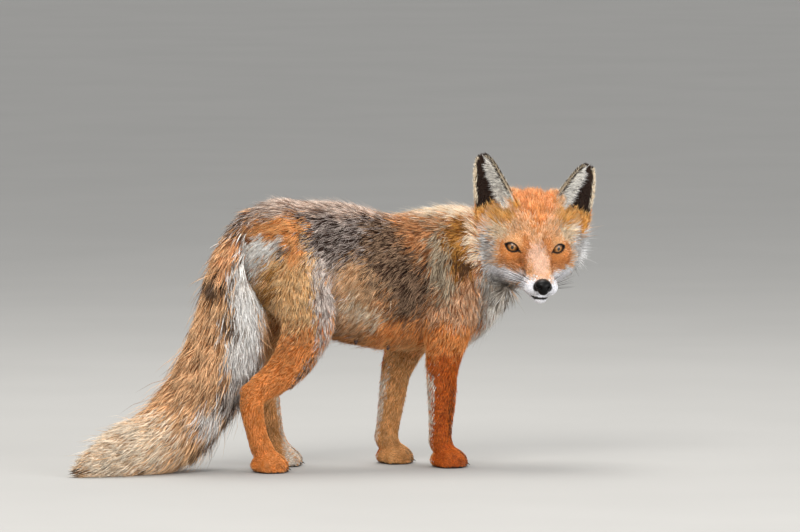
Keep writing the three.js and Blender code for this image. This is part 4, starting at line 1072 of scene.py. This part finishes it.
def coat_material(name, scale, roughness=0.6, sheen=0.1):
    """Hair: the piece's own colours, varied finely, with a soft sheen."""
    material, tree, shader = new_material(name)
    colour = shade(tree, own_colours(tree), noise(tree, scale, 4), 0.86, 1.14)
    tree.links.new(colour, shader.inputs["Base Color"])
    bump(tree, shader, noise(tree, 3 * scale, 2), 0.25, 0.0004)
    set_sockets(shader, Roughness=roughness, Specular_IOR_Level=0.2, Sheen_Weight=sheen,
                Sheen_Tint=(1.0, 0.86, 0.72, 1), Sheen_Roughness=0.4)
    return material


def plain_material(name, colour, roughness, scale, coat=0.0, shine=0.5):
    """A dark smooth or pebbled surface such as leather, horn or a whisker."""
    material, tree, shader = new_material(name)
    fine = noise(tree, scale, 3)
    shaded = shade(tree, one_colour(tree, colour), fine, 0.8, 1.2)
    tree.links.new(shaded, shader.inputs["Base Color"])
    bump(tree, shader, fine, 0.4, 0.0003)
    set_sockets(shader, Roughness=roughness, Specular_IOR_Level=shine, Coat_Weight=coat,
                Coat_Roughness=0.12)
    return material


SKIN_MATERIAL = coat_material("fox_skin", 500, 0.8, 0.04)
BODY_COAT = coat_material("coat_body", 420)
FACE_COAT = coat_material("coat_face", 900)
LEG_COAT_MATERIAL = coat_material("coat_leg", 700)
BRUSH_COAT_MATERIAL = coat_material("coat_brush", 300)
LEATHER = plain_material("nose_leather", "#040404", 0.4, 1800, 0.06, shine=0.14)
LID = plain_material("lid_skin", "#0c0807", 0.5, 1200, 0.05, shine=0.25)
HORN = plain_material("claw_horn", "#2a211b", 0.45, 700)
WHISKER = plain_material("whisker_hair", "#1b1614", 0.5, 900)
TEAT = plain_material("teat_skin", "#3a2620", 0.6, 900)

# ---------------------------------------------------------------- tufts


# How far along a tuft its rings are and how wide, for tufts of one ring and of two.
RINGS = {1: ([0.36], [1.0]), 2: ([0.28, 0.62], [1.0, 0.8])}
MOST_TUFTS = {1: 33000, 2: 16500}  # in a piece, by their rings
LONG_HAIR = ("bib", "brush")  # the groups with tufts of two rings
GUARD_SHARE = 0.05  # of tufts that are longer and thinner than the rest
LOCK_SHARE = 0.66  # of tufts that take their lock's kind of coat


def tuft_mesh(roots, up, lie, length, height, width, colours, uv, rings):
    """Tapered tufts of three sides, pointed at both ends, with their root under the skin.
    colours has one array for the root, each ring and the tip. Each tuft leaves the skin
    steeply and bends over along the lie."""
    n = len(roots)
    side = unit(np.cross(lie, up))
    points, uvs = [roots - up * 1.0], [uv + (0.0015, 0)]
    for share, wide in zip(*RINGS[rings]):
        rise = height * sin(pi / 2 * share) ** 0.8
        middle = roots + lie * (length * share)[:, None] + up * rise[:, None]
        half = (width * wide / 2)[:, None]
        points += [middle - side * half, middle + side * half, middle + up * half * 0.9]
        uvs += [uv + (0, 0.003 * share), uv + (0.003, 0.003 * share), uv + (0.0015, 0.003 * share)]
    points.append(roots + lie * length[:, None] + up * height[:, None])
    uvs.append(uv + (0.0015, 0.003))
    last = 3 * rings + 1
    faces = [(0, 1 + (k + 1) % 3, 1 + k) for k in range(3)]
    for r in range(1, rings):
        for k in range(3):
            a, b = 3 * r - 2 + k, 3 * r - 2 + (k + 1) % 3
            faces += [(a, b, b + 3), (a, b + 3, a + 3)]
    faces += [(last - 3 + k, last - 3 + (k + 1) % 3, last) for k in range(3)]
    faces = np.array(faces)[None] + ((last + 1) * np.arange(n))[:, None, None]
    shades = [colours[0], *(c for c in colours[1:-1] for _ in range(3)), colours[-1]]
    points, shades, uvs = (
        np.stack(part, axis=1).reshape(n * (last + 1), -1) for part in (points, shades, uvs)
    )
    points[:, 2] = np.maximum(points[:, 2], 0.4)
    return points, faces.reshape(-1, 3), shades, uvs


def locks(places, size):
    """The number of the small lock that each place belongs to, in cells with ragged edges."""
    cell = places / np.reshape(size, (-1, 1))
    key = np.floor(cell + rng.uniform(-0.2, 0.2, places.shape)).astype(int)
    return np.unique(key, axis=0, return_inverse=True)[1].ravel()


def clump(tips, lock, pull):
    """Tips drawn towards the middle of the tips of their lock."""
    count = np.bincount(lock)
    middle = np.column_stack([np.bincount(lock, tips[:, c]) / count for c in range(3)])
    return tips + (middle[lock] - tips) * pull[:, None]


def lock_tones(roots):
    """A lighter or darker tone for each lock of neighbouring tufts."""
    lock = locks(roots, 7.0)
    return rng.normal(1, 0.13, lock.max() + 1)[lock]


def scattered(places, lie):
    """Places moved a little way, mostly along the lie, lock by lock. Patches of colour looked
    up there end in streaks."""
    lock = locks(places, 5.0)
    along = rng.normal(0, 1, lock.max() + 1)[lock]
    aside = rng.normal(0, 1, (lock.max() + 1, 3))[lock]
    return places + 7.0 * lie * along[:, None] + 2.4 * aside


def hair_colours(weights, rings, tone, lock):
    """The colours of each tuft's root, rings and tip, by kinds picked in their shares. Most
    tufts take the pick of their lock."""
    n = len(weights)
    chance = rng.random((lock.max() + 1, 2))[lock]
    alone = rng.random(n) > LOCK_SHARE
    chance[alone] = rng.random((alone.sum(), 2))
    pick = (weights / weights.sum(axis=1, keepdims=True)).cumsum(axis=1) > chance[:, :1]
    kind = pick.argmax(axis=1)
    root, middle, tip, other = (KIND_COLOURS[kind, c] for c in range(4))
    odd = (chance[:, 1] < KIND_SHARE[kind])[:, None]
    tip = np.where(odd, other, tip)
    middle = np.where(odd, mix(middle, other, 0.6), middle)
    tone = (tone * rng.normal(1, 0.12, n)).clip(0.6, 1.4)[:, None]
    rows = [root, middle, tip] if rings == 1 else [root, middle, mix(middle, tip, 0.5), tip]
    return [row * tone for row in rows]


def unwrap(points, group):
    """A place for each root on an unwrap of its own group's skin, within the unit square."""
    name = GROUPS[group]
    if name == "head":
        p = unit(to_head(points) - (-20, 0, 0))
        u, v = np.arctan2(p[:, 1], p[:, 0]) / (2 * pi) + 0.5, np.arcsin(p[:, 2]) / pi + 0.5
    elif name in LEGS:
        inward, ahead = leg_place(points)
        u, v = np.arctan2(inward, ahead) / (2 * pi) + 0.5, points[:, 2] / 330
    elif name == "brush":
        line = finer(BRUSH, 4)
        away = ((points[:, None] - line[None, :, :3]) ** 2).sum(axis=2)
        nearest = away.argmin(axis=1)
        off = points - line[nearest, :3]
        u, v = nearest / len(line), np.arctan2(off[:, 1], off[:, 0] + off[:, 2]) / (2 * pi) + 0.5
    else:
        round_body = np.arctan2(points[:, 1], points[:, 2] - 275)
        u, v = (points[:, 0] + 120) / 400, round_body / (2 * pi) + 0.5
    return np.column_stack([u, v]).clip(0, 1) * 0.985 + 0.005


def near_eyes(head):
    """The distance from points of the head to the nearer eye."""
    aside = np.abs(head[:, 1]) - EYE["out"]
    return np.linalg.norm(np.column_stack([head[:, 0], aside, head[:, 2]]), axis=1)


def bare_places(roots):
    """Where no hair grows: in the eyes, on the nose, on the lips' line and under the paws."""
    head = to_head(roots)
    bare = np.linalg.norm((head - NOSE_AT) / np.add(NOSE_HALF, 1.0), axis=1) < 1
    for side in SIDES.values():
        q = eye_space(head, side)
        rim = np.abs(q[:, 2]) - slit_height(np.clip(q[:, 1], -14, 14))
        bare |= (rim < 1.6) & (np.abs(q[:, 1]) < 15) & (q[:, 0] > -4)
    off = np.abs(head[:, 2] - mouth_height(head[:, 0]))
    bare |= (off < 1.2) & (head[:, 0] > 24) & (np.abs(head[:, 1]) < 40)
    return bare | (roots[:, 2] < 2)


def sample(points, faces, normals, density):
    """Roots spread over the skin, with a density at each point in tufts a square mm."""
    triangles = np.vstack([faces[:, [0, 1, 2]], faces[:, [0, 2, 3]]])
    order = np.argsort(np.tile(np.arange(len(faces)), 2), kind="stable")
    triangles = triangles[order]
    a, b, c = (points[triangles[:, i]] for i in range(3))
    area = np.linalg.norm(np.cross(b - a, c - a), axis=1) / 2
    total = np.cumsum(area * density[triangles].mean(axis=1))
    count = int(total[-1])
    pick = np.searchsorted(total, (np.arange(count) + rng.random(count)) * total[-1] / count)
    t = triangles[pick.clip(0, len(triangles) - 1)]
    u, v = np.sort(rng.random((2, count)), axis=0)
    share = np.column_stack([u, v - u, 1 - v])[:, :, None]
    return (points[t] * share).sum(axis=1), unit((normals[t] * share).sum(axis=1))


def comb_hairs(roots, up, near):
    """The reach of every tuft, from its root to its tip, its width and its lock."""
    n = len(roots)
    lie, coat = COMB.at_points(roots, near)
    head_share = near[:, GROUPS.index("head")]
    length = coat[:, 0] * rng.normal(1, 0.18, n).clip(0.55, 1.5)
    length *= mix(1, mix(0.45, 1, smooth(14, 26, near_eyes(to_head(roots)))), head_share)
    depth = -fox_field(Cloud(roots), 0)
    height = depth.clip(0.3, 40) * rng.normal(0.9, 0.17, n).clip(0.45, 1.3)
    height = np.minimum(height, 0.6 * length) + coat[:, 3] * rng.random(n)
    width = coat[:, 1] * rng.normal(1, 0.12, n).clip(0.7, 1.3)
    guard = (rng.random(n) < GUARD_SHARE) & (length > 8)
    length, width = np.where(guard, length * 1.35, length), np.where(guard, width * 0.55, width)
    height = np.where(guard, height * 1.35 + 1.5, height)
    lie = unit(lie - up * dot(lie, up))
    stray = 0.17 * rng.normal(0, 1, (n, 3)) + 0.22 * (wobble(roots, 9, 1.0, 5) - roots)
    lie = unit(lie + stray - up * dot(stray, up))
    tips = roots + lie * length[:, None] + up * height[:, None]
    lock = locks(roots, mix(1.6, 6.0, smooth(6, 45, coat[:, 0])))
    tips = clump(tips, lock, mix(0.1, 0.4, smooth(6, 30, length)) * ~guard)
    return tips - roots, width, lock


def coat_looks(name):
    """A group's material and slot."""
    if name in LEGS:
        return LEG_COAT_MATERIAL, "leg_coat"
    return {"head": (FACE_COAT, "face_coat"), "brush": (BRUSH_COAT_MATERIAL, "tail_coat")}.get(
        name, (BODY_COAT, "body_coat"))


def grow_coat(points, faces, normals, near, share):
    """The whole coat. Each group is parted along its length so that no piece is too large."""
    _, guide = COMB.at_points(points, near)
    roots, up = sample(points, faces, normals, guide[:, 2] / 100 * share)
    keep = ~bare_places(roots)
    roots, up = roots[keep], up[keep]
    near = groups_near(roots, 1)
    reach, width, lock = comb_hairs(roots, up, near)
    height = dot(reach, up)[:, 0]
    flat = reach - up * height[:, None]
    length, lie = np.linalg.norm(flat, axis=1), unit(flat)
    places = roots + 0.7 * reach
    loose = 1 - near[:, GROUPS.index("head")]
    places = mix(places, scattered(places, lie), (loose * smooth(4, 18, length))[:, None])
    weights = kinds_of(places, near)
    tone = lock_tones(roots)
    group = near.argmax(axis=1)
    for i, name in enumerate(GROUPS):
        mine = np.flatnonzero(group == i)
        mine = mine[np.argsort(roots[mine, 0], kind="stable")]
        rings = 2 if name in LONG_HAIR else 1
        parts = np.array_split(mine, -(-len(mine) // MOST_TUFTS[rings]))
        material, slot = coat_looks(name)
        for k, part in enumerate(parts):
            colours = hair_colours(weights[part], rings, tone[part], lock[part])
            pts, fcs, cols, uvs = tuft_mesh(
                roots[part], up[part], lie[part], length[part], height[part], width[part],
                colours, unwrap(roots[part], i), rings)
            make_mesh(f"coat_{name}_{k + 1}", pts, fcs, material, slot, cols, uvs)
            print("coat", name, k + 1, len(part), "tufts", len(fcs), "triangles")


def undercoat(weights):
    """The skin's colours: the same markings, a little darker than the hair."""
    share = weights / weights.sum(axis=1, keepdims=True)
    return share @ mix(KIND_COLOURS[:, 0], KIND_COLOURS[:, 1], 0.5)


# ---------------------------------------------------------------- tubes and balls


def tube(path, radii, sides=8, flat=1.0, out=None):
    """A closed tube of quads along a path, with a radius at each point. With out, a direction
    at each point, its thickness that way is flat times its width."""
    path, radii = np.asarray(path, float), np.asarray(radii, float)
    along = unit(np.gradient(path, axis=0))
    if out is None:
        out = np.tile([0.13, 0.27, 0.95], (len(path), 1))
    side = unit(np.cross(along, out))
    up = np.cross(side, along)
    turn = np.linspace(0, 2 * pi, sides, endpoint=False)
    c, s = (wave(turn)[None, :, None] for wave in (np.cos, np.sin))
    ring = side[:, None] * c + flat * up[:, None] * s
    points = (path[:, None] + ring * radii[:, None, None]).reshape(-1, 3)
    points = np.vstack([points, path[:1], path[-1:]])
    faces = ring_quads(len(path), sides)
    first, last, top = len(points) - 2, len(points) - 1, (len(path) - 1) * sides
    for k in range(0, sides, 2):
        a, b, c = k, (k + 1) % sides, (k + 2) % sides
        faces += [(first, c, b, a), (last, top + a, top + b, top + c)]
    return points, np.array(faces)


# ---------------------------------------------------------------- eyes

IRIS = 7.7
PUPIL = 2.5


def eye_ball(side):
    """An eyeball with its bulging cornea in one piece. Its colours run out from the gaze."""
    rings, spokes = 40, 48
    r = EYE["r"]
    angle = np.concatenate([np.linspace(0, 0.95, 26), np.linspace(1.05, pi, rings - 26)])
    turn = np.linspace(0, 2 * pi, spokes, endpoint=False)
    bulge = 0.9 * np.exp(-((angle / 0.5) ** 2))
    ball = np.array([
        ((r + b) * cos(a), (r + b) * sin(a) * np.cos(t), (r + b) * sin(a) * np.sin(t))
        for a, b in zip(angle, bulge) for t in turn
    ])
    faces = ring_quads(rings, spokes)
    out = np.hypot(ball[:, 1], ball[:, 2])
    spoke = np.arctan2(ball[:, 2], ball[:, 1])
    iris = mix(linear("#b27c3e"), linear("#74441f"), smooth(PUPIL, IRIS - 1, out)[:, None])
    fibre = 1 + 0.22 * np.sin(spoke * 19 + 2 * np.sin(spoke * 7))[:, None]
    shadow = mix(1.0, 0.35, smooth(1.0, 4.6, ball[:, 2]))[:, None]  # under the upper lid
    colour = iris * fibre * shadow
    pupil = np.hypot(ball[:, 1] / 0.8, ball[:, 2])
    colour = mix(colour, linear("#070505"), smooth(PUPIL + 0.5, PUPIL, pupil)[:, None])
    colour = mix(colour, linear("#1a0f0a"), smooth(IRIS - 1.1, IRIS, out)[:, None])
    front = ball[:, 0] > 0
    colour = np.where(front[:, None], colour, linear("#1a0f0a"))
    yaw = turn_about("Z", side * EYE["splay"] * 0.9)
    return from_head(ball @ yaw.T + eye_middle(side)), np.array(faces), colour


def eye_material():
    """A wet eye: the ball's own colours under a clear glossy coat."""
    material, tree, shader = new_material("wet_eye")
    colour = shade(tree, own_colours(tree), noise(tree, 900, 4), 0.75, 1.25)
    tree.links.new(colour, shader.inputs["Base Color"])
    set_sockets(shader, Roughness=0.3, Coat_Weight=0.7, Coat_Roughness=0.03)
    return material


def lids(side):
    """The bare dark rim between the lids, a ring along the opening, on the eyeball."""
    t = np.linspace(0, 2 * pi, 72, endpoint=False)
    across = SLIT["length"] / 2 * np.cos(t)
    up = np.sign(np.sin(t)) * slit_height(across)
    up = up + 0.7 * np.sin(t)
    reach = EYE["r"] + 0.5
    ahead = np.sqrt(np.maximum(reach**2 - across**2 * 0.55 - up**2, 4.0))
    ring = np.column_stack([ahead, across * side, up])
    ring = ring @ turn_about("X", side * SLIT["tilt"]).T @ turn_about("Z", side * EYE["splay"]).T
    ring = ring + eye_middle(side)
    closed = np.vstack([ring, ring[:2]])
    out = unit(closed - eye_middle(side))
    points, faces = tube(closed, np.full(len(closed), 0.85), 10, 0.8, out)
    return from_head(points), faces


def build_eyes():
    """Both eyeballs and their lids."""
    wet = eye_material()
    for name, side in SIDES.items():
        ball, faces, colours = eye_ball(side)
        piece = make_mesh(f"eyeball_{name}", ball, faces, wet, "eye", colours)
        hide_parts(f"eye_{name}")
        make_mesh(f"lids_{name}", *lids(side), LID, "eye")


# ---------------------------------------------------------------- nose, mouth and whiskers


NOSE_PADS = [((82.5, 0, -29.5), (9.6, 11.4, 8.0)), ((84, 0, -36.2), (8.2, 7.4, 7))]
NOSTRILS = [((92, 6, -31.5), (5, 2.6, 3.0)), ((88.5, 9.8, -33.5), (5, 2.6, 1.4))]
NOSE_BLOCK = ((66, -18, -48), (97, 18, -16), 0.55)
WHISKER_ROWS = [(-27, 3), (-31, 4), (-35, 4), (-39, 3)]  # height and how many
LIP_MIDDLE = 52  # the point that the lips' edge runs round


def build_nose():
    """The nose leather: a broad rounded pad with two nostrils and a groove down its middle."""
    space = Grid(*NOSE_BLOCK)
    x, y, z = space.points((slice(None),) * 3)
    upper, lower = (oval_distance(x - at[0], y, z - at[2], *half) for at, half in NOSE_PADS)
    d = blend(upper, lower, 5)
    for side in (-1, 1):
        for at, half in NOSTRILS:
            hole = oval_distance(x - at[0], y - side * at[1], z - at[2], *half)
            d = -blend(-d, hole, 1.2)
    groove = np.sqrt((x - 95) ** 2 * 0.2 + (y * 1.6) ** 2) - 1.0
    d = -blend(-d, np.where(z < -33, groove, FAR), 1.0)
    points, faces = compact(*surface_net(d, space.low, space.step))
    piece = make_mesh("nose_leather", from_head(points), faces, LEATHER, "nose")
    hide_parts("nose")


def head_surface(origin, way):
    """Where a line from a point inside the head leaves its bare skin."""
    points = origin + way * np.linspace(0, 90, 240)[:, None]
    return points[np.argmax(fox_field(Cloud(from_head(points)), 1) > 0)]


def build_lips():
    """The dark edge of the lips, round the muzzle from corner to corner."""
    path = []
    for turn in np.linspace(-138, 138, 61):
        way = np.array([cos(radians(turn)), sin(radians(turn)), 0])
        x = LIP_MIDDLE + 28 * way[0]
        for _ in range(2):
            place = head_surface(np.array([LIP_MIDDLE, 0, mouth_height(x)]), way)
            x = place[0]
        path.append(place - way * 0.2)
    path = np.array(path)
    radii = 0.5 * np.sin(np.linspace(0.25, pi - 0.25, len(path))) ** 0.4
    points, faces = tube(path, radii, 8)
    make_mesh("lip_edge", from_head(points), faces, LID, "nose")


def build_whiskers():
    """Whiskers in four rows on each side of the muzzle, and two over each eye."""
    parts = []
    for side in (-1, 1):
        for row, (z, count) in enumerate(WHISKER_ROWS):
            for k in range(count):
                x = 68 - 6.5 * k - row
                root = head_surface(np.array([x, 0, z]), np.array([0, side, 0.0]))
                length = rng.uniform(26, 34) + 7 * k
                way = unit([-0.5 - 0.14 * k, side, 0.42 - 0.16 * row + rng.uniform(-0.1, 0.1)])
                t = np.linspace(0, 1, 12)[:, None]
                sag = np.array([-0.4, 0, -0.12])
                path = root + length * (way * t + sag * t**2) - way * 1.5
                parts.append(tube(path, mix(0.3, 0.06, t[:, 0]), 6))
        for k in range(2):
            brow = np.array([-20, side * (20 + 7 * k), 20.0])
            root = head_surface(brow, unit([1.0, side * 0.1, 0.2]))
            way = unit([0.2, side * (0.3 + 0.2 * k), 1])
            t = np.linspace(0, 1, 9)[:, None]
            path = root + 20 * (way * t + np.array([-0.5, 0, -0.2]) * t**2)
            parts.append(tube(path, mix(0.22, 0.05, t[:, 0]), 6))
    points, faces = joined(parts)
    make_mesh("whiskers", from_head(points), faces, WHISKER, "whisker")


# ---------------------------------------------------------------- ears


class Ear:
    """An ear as a bent leaf: places on it by height v, from 0 at the root to 1 at the tip,
    and s across it, from -1 at its inner edge to 1 at its outer one."""

    def __init__(self, name):
        self.name, self.side = name, SIDES[name]
        mirror = np.array([1, self.side, 1])
        self.root, tip = np.array(EAR_ROOT) * mirror, np.array(EAR_TIPS[name]) * mirror
        self.along = tip - self.root
        self.axis = unit(self.along)
        opens = np.array(EAR_OPENS[name]) * mirror
        self.facing = unit(opens - self.axis * np.dot(opens, self.axis))
        self.wide = np.cross(self.facing, self.axis)
        self.outer = np.sign(self.wide[1] * self.side)
        self.wide = self.wide * self.outer

    def place(self, s, v, layer):
        """Points in the head's frame. layer is 0 on the open face and 1 on the back."""
        half = EAR["half"] * np.minimum(1, 1 - v).clip(0.02, None) ** EAR["blunt"]
        cup = EAR["cup"] * np.maximum(1 - v, 0.12) ** 0.8
        wall = mix(EAR["wall"], EAR["rim"], v.clip(0, None)) * layer
        bend = (cup * 0.6 - EAR["bend"] * v * v)[:, None]
        middle = self.root + self.along * v[:, None] + self.facing * bend
        slope = np.hypot(half, 2 * cup * s)
        w = half * s + wall * 2 * cup * s / slope
        f = cup * (s * s - 1) - wall * half / slope
        return middle + self.wide * w[:, None] + self.facing * f[:, None]

    def normal(self, s, v, layer):
        """The direction out of the ear's surface."""
        e = 0.01
        ds = self.place(s + e, v, layer) - self.place(s - e, v, layer)
        dv = self.place(s, v + e, layer) - self.place(s, v - e, layer)
        n = unit(np.cross(ds, dv))
        towards = np.where(layer > 0.5, -1, 1)[:, None] * self.facing
        return n * np.sign(dot(n, towards))

    def kinds(self, s, v, layer):
        """The share of each kind of coat on the ear."""
        weights = one_kind(s)
        inside = 1 - layer
        lay(weights, "ear_back", layer)
        lay(weights, "crown", layer * smooth(0.45, 0.2, v))
        lay(weights, "ear_pale", inside)
        lay(weights, "ear_dark", inside * smooth(-0.06, 0.12, s + 0.5 * smooth(0.6, 1, v)))
        lay(weights, "ear_dark", inside * smooth(-0.84, -0.9, s) * smooth(0.15, 0.4, v))
        lay(weights, "ear_gold", inside * smooth(0.2, 0.06, v))
        rim = smooth(0.93, 0.985, np.abs(s)) * mix(1, 0.5, s < 0)
        lay(weights, "ear_rim", rim * smooth(0.15, 0.4, v))
        lay(weights, "gold", smooth(0.2, 0.06, v))
        return weights


EAR_TUFTS = {"back": 4200, "inside": 2200, "long": 1000, "rim": 1600, "root": 1500}


def build_ear(name):
    """One ear: its cup, the short hair on its back, rim and inside, and the long hair that
    sweeps over its inside from the inner edge."""
    ear = Ear(name)
    levels, steps = 30, 22
    v = np.linspace(-EAR["sunk"], 0.985, levels + 1)
    s = np.linspace(-1, 1, steps + 1)
    ring_s = np.concatenate([s, s[::-1]])
    ring_layer = np.concatenate([np.zeros(steps + 1), np.ones(steps + 1)])
    n = len(ring_s)
    all_s, all_layer = np.tile(ring_s, levels + 1), np.tile(ring_layer, levels + 1)
    all_v = np.repeat(v, n)
    points = ear.place(all_s, all_v, all_layer)
    order = 1 if ear.outer < 0 else -1
    faces = [face[::order] for face in ring_quads(levels + 1, n)]
    for k in range(steps):
        for base, way in ((0, -1), (levels * n, 1)):
            cap = (base + k, base + k + 1, base + n - 2 - k, base + n - 1 - k)
            faces.append(cap[:: order * way])
    colours = undercoat(ear.kinds(all_s, all_v, all_layer))
    cup = make_mesh(
        f"ear_cup_{name}", from_head(points), np.array(faces), SKIN_MATERIAL, "ear_coat", colours)
    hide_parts(f"ear_{name}")

    parts = []
    for where, count in EAR_TUFTS.items():
        t, u = rng.random((2, count))
        v = 0.02 + 0.95 * t
        s = 2 * u - 1
        layer = np.full(count, 1.0 if where == "back" else 0.0)
        length, width, rise = np.full(count, 5.0), np.full(count, 0.8), np.full(count, 1.5)
        lie = np.tile(ear.axis, (count, 1)) + 0.3 * ear.wide * s[:, None]
        if where == "rim":
            s = np.where(u < 0.5, -1, 1) * (1 - 0.05 * rng.random(count))
            layer = rng.random(count).round()
            length[:], rise[:], width[:] = 3.6, 0.6, 0.6
            lie = np.tile(ear.axis, (count, 1)) + 0.55 * ear.wide * np.sign(s)[:, None]
        if where == "inside":
            length[:], rise[:] = 6.0, 1.6
            lie = ear.axis * 0.6 + ear.wide * np.where(s > 0, -0.5, 0.8)[:, None]
        if where == "root":
            v = -0.14 + 0.28 * t**1.5
            layer = (rng.random(count) < 0.75).astype(float)
            length[:], rise = rng.uniform(7, 12, count), rng.uniform(1, 4, count)
            lie = np.tile(ear.axis, (count, 1)) + 0.45 * ear.wide * s[:, None]
        if where == "long":
            s = -0.95 + 0.75 * u
            v = 0.04 + 0.8 * t
            length, width = rng.uniform(9, 17, count) * (1.15 - 0.5 * v), np.full(count, 0.75)
            rise = rng.uniform(2, 6, count)
            lie = ear.axis * 0.25 + np.tile(ear.wide, (count, 1))
        roots = ear.place(s, v, layer)
        up = ear.normal(s, v, layer)
        lie = lie + rng.normal(0, 0.16, (count, 3))
        lie = unit(lie - up * dot(lie, up))
        length = length * rng.normal(1, 0.15, count).clip(0.6, 1.4)
        weights = ear.kinds(s, v, layer)
        if where == "long":
            lay(weights, "ear_pale", np.full(count, 0.75))
        uv = np.column_stack([(s + 1) / 4 + 0.5 * layer, v]) * 0.97 + 0.01
        colours = hair_colours(weights, 1, 1.0, np.arange(count))
        parts.append(tuft_mesh(roots, up, lie, length, rise, width, colours, uv, 1))
    starts = np.cumsum([0] + [len(p[0]) for p in parts[:-1]])
    points, colours, uv = (np.vstack([p[i] for p in parts]) for i in (0, 2, 3))
    faces = np.vstack([p[1] + start for p, start in zip(parts, starts)])
    make_mesh(f"coat_ear_{name}", from_head(points), faces, FACE_COAT, "ear_coat", colours, uv)


# ---------------------------------------------------------------- claws and teats


def build_claws():
    """A curved claw at the end of each toe."""
    parts = []
    for rows in LEGS.values():
        for tip, y in toe_places(rows):
            t = np.linspace(0, 1, 9)
            high = CLAW["up"] + 1.5 * t - CLAW["drop"] * t**2 * 0.75
            path = np.column_stack([tip - 4 + CLAW["length"] * t, np.full(9, y), high])
            path[:, 2] = np.maximum(path[:, 2], 0.4)
            parts.append(tube(path, CLAW["r"] * (1 - t**1.6) + 0.12, 8))
    points, faces = joined(parts)
    points[:, 2] = np.maximum(points[:, 2], 0.1)
    make_mesh("claws", points, faces, HORN, "claw")


TEATS_AT = [(-30, 206), (17, 184), (64, 175)]  # along the belly, and how high


def build_teats():
    """Teats in two rows under the belly."""
    parts = []
    for x, z in TEATS_AT:
        for side in (-1, 1):
            t = np.linspace(0, 1, 8)
            path = np.array([x, side * 21, z]) + np.outer(t, (-1, side * 1.5, -11.0))
            parts.append(tube(path, 3.4 * np.sqrt(1.02 - t**2) + 0.05, 10))
    points, faces = joined(parts)
    make_mesh("teats", points, faces, TEAT, "body_coat")


# ---------------------------------------------------------------- floor, lights and camera

VIEW_AZIMUTH, VIEW_ELEVATION = radians(-18), radians(4)
VIEW_RIGHT_MM, VIEW_UP_MM = 84, 281.4  # where the camera's axis passes the skeleton's origin
VIEW_WIDTH = 1.12
VIEW_DISTANCE = 14
LOOKED_AT = (0, 0, 0.25)
# Lamps: place, size, power and colour.
LAMPS = {
    "key": ((-1.6, -2.4, 2.6), 2.2, 95, (1.0, 0.97, 0.93)),
    "fill": ((2.4, -3.0, 1.0), 2.6, 62, (0.98, 0.98, 1.0)),
    "top": ((0.2, 0.9, 3.2), 2.0, 70, (1.0, 0.98, 0.95)),
    "low": ((1.0, -2.8, 0.4), 1.6, 16, (1.0, 0.99, 0.97)),
}
FLOOR_COLOUR = "#aaa9a6"
FLOOR_SIDES, FLOOR_RINGS = 96, (0.5, 2, 8, 60)


def build_floor():
    """A wide round floor, pale and plain."""
    n, rings = FLOOR_SIDES, len(FLOOR_RINGS)
    turn = np.linspace(0, 2 * pi, n, endpoint=False)
    circle = np.column_stack([np.cos(turn), np.sin(turn), np.zeros(n)])
    points = np.vstack([*(r * circle for r in FLOOR_RINGS), (0, 0, 0)])
    mesh = bpy.data.meshes.new("floor")
    faces = [face[::-1] for face in ring_quads(rings, n)]
    faces += [(rings * n, k, (k + 1) % n) for k in range(n)]
    mesh.from_pydata(points.tolist(), [], faces)
    material, tree, shader = new_material("pale_floor")
    colour = shade(tree, one_colour(tree, FLOOR_COLOUR), noise(tree, 3, 2), 0.98, 1.02)
    tree.links.new(colour, shader.inputs["Base Color"])
    set_sockets(shader, Roughness=0.9)
    mesh.materials.append(material)
    floor = add_object("floor", mesh)


def area_light(name, at, size, power, colour):
    """A soft lamp that looks at the fox."""
    data = bpy.data.lights.new(name, "AREA")
    data.shape, data.size, data.energy, data.color = "DISK", size, power, colour
    lamp = add_object(name, data)
    lamp.location = at
    lamp.rotation_euler = (Vector(LOOKED_AT) - Vector(at)).to_track_quat("-Z", "Y").to_euler()


def build_lights():
    """The lamps and a pale even surrounding."""
    for name, lamp in LAMPS.items():
        area_light(name, *lamp)
    world = bpy.data.worlds.new("studio")
    world.use_nodes = True
    set_sockets(world.node_tree.nodes["Background"], Color=(0.88, 0.88, 0.88, 1), Strength=0.8)
    bpy.context.scene.world = world
    bpy.context.scene.view_settings.view_transform = "Standard"


def build_camera():
    """A long lens from the fox's right and a little behind, as in the photograph."""
    a, e = VIEW_AZIMUTH, VIEW_ELEVATION
    right = np.array([cos(a), sin(a), 0])
    look = np.array([-sin(a) * cos(e), cos(a) * cos(e), -sin(e)])
    up = np.cross(right, look)
    target = (right * VIEW_RIGHT_MM + up * VIEW_UP_MM + SHIFT) * MM
    camera = bpy.data.cameras.new("camera")
    camera.sensor_width = 36
    camera.lens = 36 * VIEW_DISTANCE / VIEW_WIDTH
    camera.clip_end = 200
    eye = add_object("camera", camera)
    eye.matrix_world = Matrix(np.array([
        [right[0], up[0], -look[0], 0], [right[1], up[1], -look[1], 0],
        [right[2], up[2], -look[2], 0], [0, 0, 0, 1]]).tolist())
    eye.location = Vector((target - look * VIEW_DISTANCE).tolist())
    bpy.context.scene.camera = eye


# ---------------------------------------------------------------- the fox

FLESH = [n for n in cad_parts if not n.startswith(("eye_", "ear_", "nose"))]

build_camera()
build_lights()
build_floor()
skin_points, skin_faces = skin_mesh()
skin_near = groups_near(skin_points, 1)
skin_normals = vertex_normals(skin_points, skin_faces)
skin_colours = undercoat(kinds_of(skin_points, skin_near))
skin = make_mesh("skin", skin_points, skin_faces, SKIN_MATERIAL, "body_coat", skin_colours)
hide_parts(*FLESH)
grow_coat(skin_points, skin_faces, skin_normals, skin_near, 1.0)
build_eyes()
build_nose()
build_lips()
build_whiskers()
for ear_name in SIDES:
    build_ear(ear_name)
build_claws()
build_teats()
